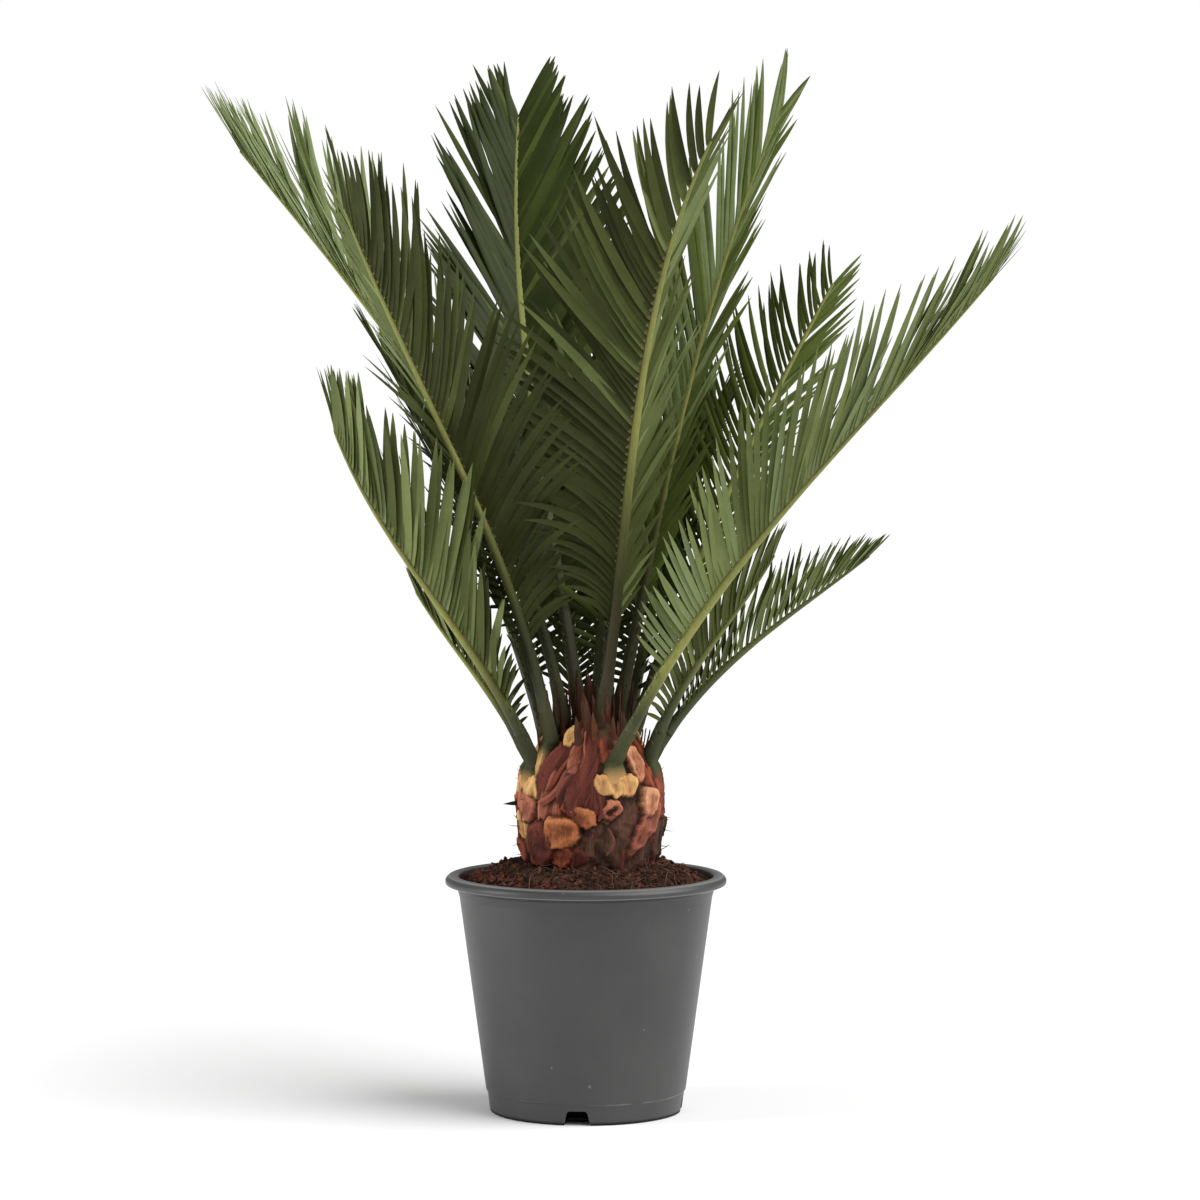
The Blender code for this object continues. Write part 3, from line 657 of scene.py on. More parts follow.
def makeChips(s):
    # flat, five-cornered splinters of bark
    rng = random.Random(compostSet["seed"])
    verts, faces = [], []
    for _ in range(s["count"]):
        r, a = s["reach"] * math.sqrt(rng.uniform(*s["spread"])), rng.uniform(0, 2 * math.pi)
        if rng.random() < s["driftShare"]:
            r = rng.uniform(*s["driftRadius"])
            a = math.radians(rng.gauss(s["driftBearing"], s["driftWidth"]))
        long, wide, thick = (rng.uniform(*s[label]) for label in ("long", "wide", "thick"))
        lean = rng.gauss(0, s["lean"]) if rng.random() < s["flatShare"] else rng.uniform(*s["steep"])
        place = Matrix.Translation((r * math.cos(a), r * math.sin(a), compostSurface(r, a) + s["lift"]))
        turn = Matrix.Rotation(rng.uniform(0, 6.28), 4, "Z") @ Matrix.Rotation(math.radians(lean), 4, "Y")
        first = len(verts)
        ring = [(math.cos(2.4 * k + rng.uniform(-0.3, 0.3)), math.sin(2.4 * k)) for k in range(5)]
        ring.sort(key=lambda p: math.atan2(p[1], p[0]))
        for z, grow in ((-0.5, s["underside"]), (0.5, 1.0)):
            for x, y in ring:
                point = Vector((x * long / 2 * grow, y * wide / 2 * grow, z * thick))
                verts.append(place @ turn @ point)
        faces.append(tuple(first + k for k in reversed(range(5))))
        faces.append(tuple(first + 5 + k for k in range(5)))
        faces += [(first + k, first + (k + 1) % 5, first + 5 + (k + 1) % 5, first + 5 + k) for k in range(5)]
    piece = addObject("compost_chips", meshFrom("compost_chips", verts, faces))
    piece.data.materials.append(crumbMaterials["barkChip"])
    return finishPiece(piece, ["compost"])


rootSet = {
    "count": 150, "from": (0.030, 0.073), "to": 0.0735, "bend": 80, "long": (0.006, 0.026),
    "rises": (0.0002, 0.0006, 0.0016, 0.0026), "steps": 7, "half": 0.00022,
    "section": {"Sides": 5, "Thickness": 1.0},
}


def makeRootFibres(s):
    # fine roots that lie on the mound, some in low arches, and end before the pot's wall
    rng = random.Random(compostSet["seed"] + 1)
    strands, count = [], s["steps"]
    for _ in range(s["count"]):
        r, a = rng.uniform(*s["from"]), rng.uniform(0, 2 * math.pi)
        heading, bend = rng.uniform(0, 2 * math.pi), rng.uniform(-s["bend"], s["bend"])
        length, rise = rng.uniform(*s["long"]), rng.choice(s["rises"])
        x, y = r * math.cos(a), r * math.sin(a)
        points, widths = [], []
        for k in range(count):
            t = k / (count - 1)
            radius, around = math.hypot(x, y), math.atan2(y, x)
            if radius > s["to"]:
                break
            lift = rise * math.sin(math.pi * min(1.0, t * 1.15)) + 0.0003
            points.append(Vector((x, y, compostSurface(radius, around) + lift)))
            widths.append(s["half"] * (1.1 - 0.7 * t))
            heading += math.radians(bend * rng.uniform(0.5, 1.5)) / count
            x += length / count * math.cos(heading)
            y += length / count * math.sin(heading)
        if len(points) > 2:
            skin = [Vector((0, 0, 1))] * len(points)
            strands.append({"points": points, "halfWidth": widths, "skin": skin})
    piece = sweepPiece("compost_fibres", strands, s["section"], crumbMaterials["rootFibre"])
    return finishPiece(piece, ["compost"], sharp=45)


mound = makeCompost(compostSet)
makeCrumbs(mound, crumbSet)
makeChips(chipSet)
makeRootFibres(rootSet)
print("stage: compost made")


# Fronds: the rule of growth, as in the part's source, with about twice as many leaflets.
# whorl, bearing of the foot, bearing, turn, rises and length

caudexX = 0.003
caudexFoot = potSet["height"] + compostSet["moundRise"] + 0.0003
whorls = {"outer": (0.0370, 0.0605), "middle": (0.0280, 0.0730), "inner": (0.0172, 0.0870)}

fronds = {
    "frond_front_tall": ("inner", 292, 306, 12, (75, 78, 47), 0.402),
    "frond_left_front": ("middle", 212, 213, 1, (79, 62, 69), 0.388),
    "frond_right_long": ("outer", 291, 335, -7, (64, 46, 49), 0.418),
    "frond_back_tall": ("inner", 112, 117, -34, (73, 54, 52), 0.502),
    "frond_left_low": ("outer", 204, 194, 4, (68, 54, 76), 0.261),
    "frond_right_mid": ("middle", 28, 24, -1, (70, 63, 58), 0.343),
    "frond_right_tall": ("inner", 22, 36, 0, (75, 72, 57), 0.440),
    "frond_left_long": ("inner", 180, 162, -2, (82, 54, 49), 0.458),
    "frond_right_low": ("outer", 14, 9, -4, (62, 38, 40), 0.206),
    "frond_back_mid": ("middle", 84, 80, 0, (74, 62, 54), 0.330),
    "frond_back_left": ("outer", 132, 134, 0, (70, 56, 50), 0.330),
    "frond_back_right": ("outer", 58, 60, 0, (72, 60, 50), 0.275),
    "frond_right_short": ("outer", 340, 350, 0, (76, 54, 64), 0.165),
    "frond_left_short": ("outer", 168, 172, 0, (65, 52, 62), 0.140),
    "frond_back_low": ("outer", 97, 104, 0, (64, 46, 42), 0.240),
}

def plainRow(longest, tone):
    return longest, 76, 42, 18, 46, -20, 12, 1.00, tone


# rows of leaflets on each hand: longest leaflet, first, middle and last sweep, lift, curl at the
# foot and the tip, width and tone
# the tones are partly painted light and shade: rows that the light falls on or shines through get lighter
# tones, rows in shade darker ones
leafletRows = {
    "frond_front_tall": (
        (0.118, 44, 44, 22, 40, -58, 14, 1.30, "deep"), (0.100, 40, 20, 11, 12, -10, 4, 0.90, "light"),
    ),
    "frond_left_front": (
        (0.080, 90, 46, 14, 12, -24, 0, 0.60, "light"), (0.126, 50, 35, 14, 47, -40, 12, 1.00, "deep"),
    ),
    "frond_right_long": (
        (0.112, 68, 24, 12, 45, 8, -4, 0.80, "fresh"), (0.095, 40, 22, 12, 50, 0, -4, 0.80, "fresh"),
    ),
    "frond_back_tall": (
        (0.135, 60, 37, 18, 30, -10, 6, 1.35, "deep"), (0.135, 46, 27, 18, 25, -10, 6, 1.00, "deep"),
    ),
    "frond_left_low": (
        (0.104, 46, 38, 18, 47, -6, 6, 1.50, "light"), (0.104, 44, 38, 18, 47, -6, 6, 1.50, "light"),
    ),
    "frond_right_mid": (
        (0.075, 34, 24, 12, -45, 0, 0, 0.60, "fresh"), (0.088, 44, 44, 36, 42, 4, 16, 0.80, "light"),
    ),
    "frond_right_tall": (
        (0.080, 24, 12, 12, -20, 0, 0, 0.80, "fresh"), (0.122, 34, 18, 16, 40, 0, 0, 0.85, "pale"),
    ),
    "frond_left_long": (
        (0.122, 60, 27, 20, 50, -6, -8, 1.10, "pale"), (0.122, 60, 27, 20, 50, -6, -8, 1.10, "pale"),
    ),
    "frond_right_low": (
        (0.056, 56, 50, 18, 47, 6, 10, 0.80, "light"), (0.056, 56, 50, 18, 47, 6, 10, 0.80, "mid"),
    ),
    "frond_back_mid": (plainRow(0.105, "deep"), plainRow(0.105, "mid")),
    "frond_back_left": (plainRow(0.105, "mid"), plainRow(0.105, "mid")),
    "frond_back_right": (plainRow(0.090, "mid"), plainRow(0.090, "mid")),
    "frond_right_short": (plainRow(0.062, "mid"), plainRow(0.062, "light")),
    "frond_left_short": (plainRow(0.048, "mid"), plainRow(0.048, "mid")),
    "frond_back_low": (plainRow(0.080, "mid"), plainRow(0.080, "mid")),
}

# how single fronds differ. close: the spacing of the leaflets. fine: the most that one is wide, in
# spacings. sparse: the part of the rib past which one hand has every second leaflet. high: how much
# longer the upper leaflets are. pointed: they narrow early. shaded: the lowest ones are painted a
# step darker, a painted shade for the crown's middle.
# shift: one hand, a part of it and the steps towards a lighter tone there.
plainHabit = {
    "close": 1.0, "fine": 9.0, "sparse": 1.0, "high": 1.0, "pointed": False, "shaded": True,
    "shift": (0, 0, 0, 0),
}
habits = {
    "frond_front_tall": {
        "close": 0.88, "fine": 2.6, "sparse": 0.76, "pointed": True, "shift": (1, 0.46, 0.80, 1),
    },
    "frond_left_front": {"fine": 2.4},
    "frond_right_long": {"close": 0.74, "fine": 2.2, "shaded": False},
    "frond_back_tall": {"close": 0.9},
    "frond_left_low": {"close": 0.82},
    "frond_right_mid": {"fine": 2.4},
    "frond_right_tall": {"fine": 2.2},
    "frond_left_long": {"fine": 2.1, "high": 1.22, "shift": (1, -1.0, 0.55, -3)},
    "frond_right_low": {"fine": 2.4},
}

growthSet = {
    "stalkShare": 0.16, "ribShare": 0.90, "steps": 60, "seed": 5, "clearance": 0.0006,
    # the rib's width and thickness
    "ribFoot": (0.0125, 0.0085), "ribStalk": (0.0082, 0.0068), "ribMiddle": (0.0041, 0.0037),
    "ribTip": (0.0016, 0.0013), "footSwelling": 0.030,
    # how long the leaflets are, how they lift and how much they droop at places along the rib
    "along": (0.0, 0.14, 0.36, 0.70, 1.0), "lengths": (0.28, 0.70, 1.0, 0.86, 0.40),
    "lifts": (-7, -2, 0, -1, -7), "droops": (1.0, 0.9, 0.45, 0.15, 0.05),
    "curlAlong": (0.05, 0.55), "highAlong": (0.45, 0.62, 0.78, 1.0),
    "pitch": (0.0035, 0.0042), "width": (0.0030, 0.0050), "twist": 16,
    # one leaflet's width at places along it, and its section
    "places": (0.0, 0.025, 0.14, 0.32, 0.50, 0.66, 0.80, 0.91, 1.0),
    "widths": (0.50, 0.72, 0.95, 1.0, 0.98, 0.88, 0.66, 0.38, 0.05),
    "pointedWidths": (0.50, 0.72, 0.95, 1.0, 0.92, 0.76, 0.52, 0.29, 0.04),
    "section": {"Sides": 8, "Thickness": 0.075, "Groove": 0.10, "Edge Drop": 0.20},
    # leaflets vary in clumps, and a little one by one. A step is one tone lighter.
    "clumpSize": 4, "clumpSweep": 3.2, "clumpRaise": 4.0, "clumpLength": (0.86, 1.04),
    "clumpSteps": ((-1, 0, 1, 2), (0.15, 0.60, 0.20, 0.05)),
    "loneSweep": 1.5, "loneRaise": 2.2, "loneLength": (0.93, 1.05), "loneWidth": (0.9, 1.08),
    "loneTwist": 6, "loneBow": (-0.10, 0.05), "loneShare": 0.5,
    "loneSteps": ((-1, 0, 1, 2), (0.2, 0.5, 0.22, 0.08)), "shadeTo": 0.28,
    # raised and shortened in turn until a leaflet touches nothing
    "retries": (
        (0, 1), (11, 1), (-11, 1), (22, 1), (-22, 1), (0, 0.8), (15, 0.8), (-15, 0.8),
        (33, 0.8), (0, 0.6), (20, 0.6), (-20, 0.6), (0, 0.42), (25, 0.42), (-25, 0.42),
    ),
}


def throughThree(share, values):
    # the curve that has the three values at 0, 0.5 and 1
    start, middle, end = values
    before = start * (1 - share) * (1 - 2 * share)
    return before + middle * 4 * share * (1 - share) + end * share * (2 * share - 1)


class Rib:
    def __init__(self, name, g):
        whorl, foot, self.bearing, self.turn, self.rises, self.length = fronds[name]
        self.name, self.g = name, g
        self.habit = {**plainHabit, **habits.get(name, {})}
        self.rows = dict(zip((1, -1), leafletRows[name]))
        radius, height = whorls[whorl]
        self.footBearing = math.radians(foot)
        x, y = radius * math.cos(self.footBearing), radius * math.sin(self.footBearing)
        self.points = [Vector((caudexX + x, y, caudexFoot + height))]
        step = self.length / g["steps"]
        for i in range(g["steps"]):
            self.points.append(self.points[-1] + self.along((i + 0.5) / g["steps"]) * step)

    def along(self, share):
        rise = math.radians(throughThree(share, self.rises))
        bearing = math.radians(self.bearing + self.turn * share)
        flat = math.cos(rise)
        return Vector((flat * math.cos(bearing), flat * math.sin(bearing), math.sin(rise)))

    def frame(self, share):
        # the point, the way along, the way up out of the frond's face, and the way sideways
        at = share * self.g["steps"]
        i = min(int(at), self.g["steps"] - 1)
        along = self.along(share)
        side = along.cross(Vector((0, 0, 1))).normalized()
        return self.points[i].lerp(self.points[i + 1], at - i), along, side.cross(along).normalized(), side

    def swell(self):
        return min(self.g["footSwelling"] / self.length, 0.9 * self.g["stalkShare"])

    def size(self, share):
        g = self.g
        shares = (0, self.swell(), 0.5, g["ribShare"])
        shapes = (g["ribFoot"], g["ribStalk"], g["ribMiddle"], g["ribTip"])
        return [float(np.interp(share, shares, [shape[k] for shape in shapes])) for k in (0, 1)]


def seatFoot(rib, trunk):
    # the foot comes down onto the trunk as in the part's source
    along = rib.along(0)
    point, _, face, side = rib.frame(0)
    width, thickness = rib.size(0)
    drops = []
    for b in np.linspace(-0.5, 0.5, 5):
        for n in np.linspace(-0.5, 0.5, 5):
            start = point + side * (width * b) + face * (thickness * n) + along * 0.02
            hit = trunk.ray_cast(start, -along)
            if hit[0] is not None:
                drops.append((start - hit[0]).length - 0.02)
    drop = min(drops)
    rib.points = [p - along * drop for p in rib.points]


def nodeTree(name):
    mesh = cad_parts[name].data
    return BVHTree.FromPolygons([v.co for v in mesh.vertices], [tuple(p.vertices) for p in mesh.polygons])


def growLeaflet(rib, share, hand, raiseBy, shrink, jitter):
    # the leaflet's midline, half widths and the way its upper side faces
    g = rib.g
    place = (share - g["stalkShare"]) / (g["ribShare"] - g["stalkShare"])
    longest, *sweeps, lift, curlFoot, curlTip, width, _ = rib.rows[hand]
    curl = float(np.interp(place, g["curlAlong"], (curlFoot, curlTip)))
    sweep = throughThree(place, sweeps) + jitter["sweep"]
    lift = math.radians(lift + float(np.interp(place, g["along"], g["lifts"])) + raiseBy + jitter["raise"])
    length = longest * float(np.interp(place, g["along"], g["lengths"])) * shrink * jitter["length"]
    high = rib.habit["high"]
    length *= float(np.interp(place, g["highAlong"], (1.0, high, high, 1.0)))
    point, along, face, side = rib.frame(share)
    out = side * (hand * math.cos(lift)) + face * math.sin(lift)
    upper = face * math.cos(lift) - side * (hand * math.sin(lift))
    wide = (g["width"][0] + g["width"][1] * rib.length) * width
    wide *= min(1.0, 0.55 + 0.45 * length / (0.8 * longest))
    spacing = (g["pitch"][0] + g["pitch"][1] * rib.length) * math.sin(math.radians(max(sweep, 9)))
    wide = min(wide, rib.habit["fine"] * spacing) * jitter["width"] / 2
    ribWide, ribThick = rib.size(share)
    points, skins, before = [point + side * (hand * ribWide * 0.22) + face * (ribThick * 0.12)], [], 0.0
    for t in g["places"]:
        angle = math.radians(sweep + curl * (0.32 - t))
        if t > 0:
            way = along * math.cos(angle) + out * math.sin(angle)
            run = length * (t - before)
            points.append(points[-1] + way * run + upper * (jitter["bow"] * run * t))
        before = t
        across = (along * math.sin(angle) - out * math.cos(angle)) * hand
        twist = math.radians(g["twist"] + jitter["twist"]) * (1 - 0.4 * t)
        skins.append((upper * math.cos(twist) - across * (hand * math.sin(twist))).normalized())
    droop = float(np.interp(place, g["along"], g["droops"]))
    points = [p - Vector((0, 0, droop * (length * t) ** 2)) for p, t in zip(points, g["places"])]
    shape = g["pointedWidths" if rib.habit["pointed"] else "widths"]
    return {
        "points": points, "halfWidth": [wide * w for w in shape], "skin": skins,
        "rootness": [1.0 if t < 0.03 else 0.0 for t in g["places"]], "hand": hand, "place": place,
    }


def leafletBand(strand):
    # a flat band of the leaflet's width, for testing the space that it needs
    corners = []
    points, picked = strand["points"], (1, 4, 8)
    for i in picked:
        way = (points[i] - points[i - 1]).normalized()
        across = way.cross(strand["skin"][i]) * strand["halfWidth"][i]
        corners += [points[i] - across, points[i] + across]
    return corners, [(0, 1, 3), (0, 3, 2), (2, 3, 5), (2, 5, 4)]


def growClear(rib, share, hand, jitter, obstacles):
    # the leaflet, and its band, in the first way that touches nothing
    for raiseBy, shrink in rib.g["retries"]:
        strand = growLeaflet(rib, share, hand, raiseBy, shrink, jitter)
        band, faces = leafletBand(strand)
        probe = BVHTree.FromPolygons(band, faces, epsilon=rib.g["clearance"])
        if not any(probe.overlap(tree) for tree in obstacles):
            return strand, band, faces
    return None, [], []


def growFrond(rib, obstacles, rng):
    g = rib.g
    leafy = g["ribShare"] - g["stalkShare"]
    spacing = (g["pitch"][0] + g["pitch"][1] * rib.length) * rib.habit["close"]
    count = round(leafy * rib.length / spacing)
    strands, corners, faces, clumps = [], [], [], {}
    for i in range(count):
        for hand in (1, -1):
            share = g["stalkShare"] + leafy / count * (i + (0.35 if hand > 0 else 0.7))
            if hand not in clumps or rng.random() < 1 / g["clumpSize"]:
                step, length = rng.choices(*g["clumpSteps"])[0], rng.uniform(*g["clumpLength"])
                clumps[hand] = rng.gauss(0, g["clumpSweep"]), rng.gauss(0, g["clumpRaise"]), length, step
            sweep, raised, length, step = clumps[hand]
            jitter = {
                "sweep": sweep + rng.gauss(0, g["loneSweep"]),
                "raise": raised + rng.gauss(0, g["loneRaise"]),
                "length": length * rng.uniform(*g["loneLength"]), "width": rng.uniform(*g["loneWidth"]),
                "twist": rng.gauss(0, g["loneTwist"]), "bow": rng.uniform(*g["loneBow"]),
            }
            if hand > 0 and i % 2 and i / count > rib.habit["sparse"]:
                continue
            strand, band, bandFaces = growClear(rib, min(share, g["ribShare"]), hand, jitter, obstacles)
            if strand is None:
                continue
            faces += [tuple(len(corners) + v for v in face) for face in bandFaces]
            corners += band
            alone = rng.random() >= g["loneShare"]
            strand["step"] = rng.choices(*g["loneSteps"])[0] if alone else step
            strands.append(strand)
    return strands, BVHTree.FromPolygons(corners, faces)


def tubeTree(rib):
    # the rib as a four-sided tube, for testing clearance
    corners, faces = [], []
    shares = np.linspace(0, rib.g["ribShare"], 40)
    for i, share in enumerate(shares):
        point, _, face, side = rib.frame(float(share))
        width, thickness = rib.size(float(share))
        for b, n in ((1, 1), (1, -1), (-1, -1), (-1, 1)):
            corners.append(point + side * (width / 2 * b) + face * (thickness / 2 * n))
        if i:
            for j in range(4):
                k, base = (j + 1) % 4, 4 * (i - 1)
                faces.append((base + j, base + k, base + 4 + k, base + 4 + j))
    return BVHTree.FromPolygons(corners, faces)


leafLook = {"Patch Scale": 45.0, "Second Share": 0.45, "Softness": 0.25, "Grain Scale": 420.0, "Grain": 0.10}
# the upper side's two colours, then the underside's
# the five tones are darker and lighter copies of one leaf green, used partly as painted light and painted
# shade
leafTones = {
    "deep": ((0.020, 0.028, 0.0050), (0.029, 0.040, 0.0070), (0.030, 0.036, 0.0085), (0.042, 0.050, 0.0115)),
    "mid": ((0.033, 0.045, 0.0080), (0.045, 0.060, 0.0110), (0.052, 0.063, 0.0150), (0.068, 0.082, 0.0200)),
    "light": ((0.053, 0.070, 0.0130), (0.068, 0.089, 0.0175), (0.088, 0.108, 0.0320), (0.108, 0.132, 0.0410)),
    "fresh": ((0.080, 0.106, 0.0220), (0.098, 0.128, 0.0280), (0.136, 0.166, 0.0540), (0.160, 0.192, 0.0650)),
    "pale": ((0.140, 0.178, 0.0650), (0.175, 0.220, 0.0880), (0.150, 0.186, 0.0740), (0.180, 0.218, 0.0940)),
}
calloused = patchMaterial(
    "leafletCallus", (0.120, 0.105, 0.036), (0.085, 0.060, 0.026), leafLook, 0.5, 0.0001, 0.4
)


def leafTone(rib, strand):
    # the row's tone, partly painted light and shade, lighter or darker by the leaflet's steps
    tones = list(leafTones)
    step = strand["step"]
    # painted shade: leaflets near the stalk, in the crown's middle, go a step darker
    if rib.habit["shaded"] and strand["place"] < rib.g["shadeTo"]:
        step -= 1
    hand, start, end, shift = rib.habit["shift"]
    if hand == strand["hand"] and start < strand["place"] < end:
        step += shift
    home = tones.index(rib.rows[strand["hand"]][-1])
    return tones[min(max(home + step, 0), len(tones) - 1)]


def makeFronds(g):
    rng = random.Random(g["seed"])
    trunk, bud = nodeTree("caudex"), nodeTree("bud")
    ribs = {name: Rib(name, g) for name in fronds}
    for rib in ribs.values():
        seatFoot(rib, trunk)
    tubes = {name: tubeTree(rib) for name, rib in ribs.items()}
    grown, byTone = [], {tone: [] for tone in leafTones}
    for name, rib in ribs.items():
        others = [tube for other, tube in tubes.items() if other != name]
        strands, band = growFrond(rib, [trunk, bud] + others + grown, rng)
        grown.append(band)
        for strand in strands:
            byTone[leafTone(rib, strand)].append(strand)
    for tone, strands in byTone.items():
        topFirst, topSecond, lowFirst, lowSecond = leafTones[tone]
        upper = patchMaterial("leafUpper" + tone.title(), topFirst, topSecond, leafLook, 0.45, 0.0001, 0.10)
        lower = patchMaterial("leafUnder" + tone.title(), lowFirst, lowSecond, leafLook, 0.60, 0.0001, 0.12)
        piece = sweepPiece("leaflets_" + tone, strands, g["section"], upper, lower, calloused)
        finishPiece(piece, fronds, sharp=45)
        triangles = sum(len(p.vertices) - 2 for p in piece.data.polygons)
        print("leaflets", tone, len(strands), "triangles", triangles)
    return ribs


ribs = makeFronds(growthSet)
print("stage: leaflets grown")


# Ribs: dark green stalks that turn yellow-green among the leaflets, with short spines below

stalkSet = {
    "shares": (0.0, 0.10, 0.20, 0.30, 0.45, 0.90),
    "colours": (
        (0.075, 0.074, 0.034), (0.042, 0.045, 0.021), (0.042, 0.047, 0.018),
        (0.100, 0.108, 0.030), (0.235, 0.240, 0.066), (0.190, 0.205, 0.060),
    ),
    # early: turns yellow-green lower down. brown: has a brown foot. low: has a pale foot.
    # dull: is dull all along. broad: how much broader its rib is among the leaflets.
    "plain": {"early": 0.0, "brown": 0.0, "low": 0.0, "dull": 0.0, "broad": 1.0},
    "habits": {
        "frond_front_tall": {"brown": 0.75, "broad": 1.15},
        "frond_back_tall": {"brown": 0.4, "broad": 1.35},
        "frond_right_tall": {"brown": 0.3},
        "frond_right_long": {"early": 0.26, "low": 0.8, "broad": 0.70},
        "frond_left_low": {"early": 0.10},
        "frond_right_mid": {"broad": 1.35},
        "frond_right_low": {"dull": 0.75},
        "frond_right_short": {"dull": 0.5},
    },
    "brownColour": (0.050, 0.036, 0.018), "brownEnd": 0.42, "earlyBy": 0.16, "lowFade": 0.12,
    "lowColour": (0.120, 0.125, 0.055), "dullColour": (0.052, 0.064, 0.030),
    "from": 0.022, "pointPitch": 0.006, "section": {"Sides": 16, "Thickness": 0.84, "Groove": 0.22},
    "look": {"Across": 900.0, "Up": 70.0, "Contrast": 0.2}, "seed": 21,
    "spineFrom": 0.055, "spinePitch": 0.0065, "spineLength": (0.0016, 0.0062),
    "spineHalf": (0.0010, 0.0006, 0.0001), "spineTip": (0.10, 0.07, 0.03),
    "spineSection": {"Sides": 6, "Thickness": 0.7},
}


def stalkHabit(rib, s):
    return {**s["plain"], **s["habits"].get(rib.name, {})}


def stalkColour(rib, share, s=stalkSet):
    habit = stalkHabit(rib, s)
    share += habit["early"] * min(1.0, share / s["earlyBy"])
    colour = [float(np.interp(share, s["shares"], [c[k] for c in s["colours"]])) for k in range(3)]
    colour = mixTint(colour, s["brownColour"], habit["brown"] * max(0.0, 1 - share / s["brownEnd"]))
    colour = mixTint(colour, s["dullColour"], habit["dull"])
    return mixTint(colour, s["lowColour"], habit["low"] * clamp(1.6 - share / s["lowFade"]))


def tintMaterial(name, look, roughness, bump, dark, light, specular):
    # the piece's own colours, darker and lighter in fine streaks that run up
    made, tree, shader, place = startMaterial(name, roughness, specular)
    tint = addNode(tree, "ShaderNodeAttribute", attribute_name="tint").outputs["Color"]
    values = {"Position": place, **look}
    for label, gain in (("Dark", dark), ("Light", light)):
        scaled = addNode(tree, "ShaderNodeVectorMath", {0: tint, "Scale": gain}, operation="SCALE")
        values[label] = scaled.outputs[0]
    group = addNode(tree, "ShaderNodeGroup", values, node_tree=fibreGroup)
    tree.links.new(group.outputs["Colour"], shader.inputs["Base Color"])
    addBump(tree, shader, group.outputs["Height"], 0.6, bump)
    return made


def spineStrands(rib, s, rng):
    # short spines on both edges of the stalk, longer towards the leaflets
    strands = []
    stalk, start = rib.g["stalkShare"], s["spineFrom"]
    shortest, longest = s["spineLength"]
    count = int(rib.length * (stalk - 0.05) / s["spinePitch"])
    for i in range(count):
        for hand in (1, -1):
            t = (i + rng.random()) / count
            share = start + (stalk - start) * t
            point, along, face, side = rib.frame(share)
            length = shortest + (longest - shortest) * t**2 * rng.uniform(0.5, 1.2)
            way = (along * rng.uniform(0.5, 1.1) + side * hand + face * rng.uniform(0.0, 0.5)).normalized()
            root = point + side * (hand * rib.size(share)[0] * 0.42) + face * 0.0012
            strands.append({
                "points": [root + (way * u + along * (0.18 * u * u)) * length for u in (0.0, 0.45, 1.0)],
                "halfWidth": list(s["spineHalf"]), "skin": [face] * 3,
                "tint": [stalkColour(rib, share + 0.06)] * 2 + [s["spineTip"]],
            })
    return strands


def ribStrand(rib, s):
    start, end = s["from"] / rib.length, rib.g["ribShare"]
    broad = stalkHabit(rib, s)["broad"] - 1
    strand = {"points": [], "halfWidth": [], "skin": [], "tint": []}
    for share in np.linspace(start, end, max(12, round(rib.length / s["pointPitch"]))):
        share = float(share)
        point, _, face, _ = rib.frame(share)
        strand["points"].append(point)
        strand["halfWidth"].append(rib.size(share)[0] / 2 * (1 + broad * clamp((share - 0.3) / 0.2)))
        strand["skin"].append(face)
        strand["tint"].append(stalkColour(rib, share))
    return strand


def makeRibs(s):
    rng = random.Random(s["seed"])
    look = tintMaterial("stalkGreen", s["look"], 0.45, 0.00012, 0.82, 1.16, 0.15)
    piece = sweepPiece("ribs", [ribStrand(rib, s) for rib in ribs.values()], s["section"], look)
    finishPiece(piece, fronds, sharp=80)
    spines = [spine for rib in ribs.values() for spine in spineStrands(rib, s, rng)]
    piece = sweepPiece("stalk_spines", spines, s["spineSection"], look)
    finishPiece(piece, fronds, sharp=80)


makeRibs(stalkSet)
print("stage: ribs made")


# Trunk: one surface of old leaf bases and dry scales over a fibrous core, woolly feet of the stalks,
# and the scales of the crown

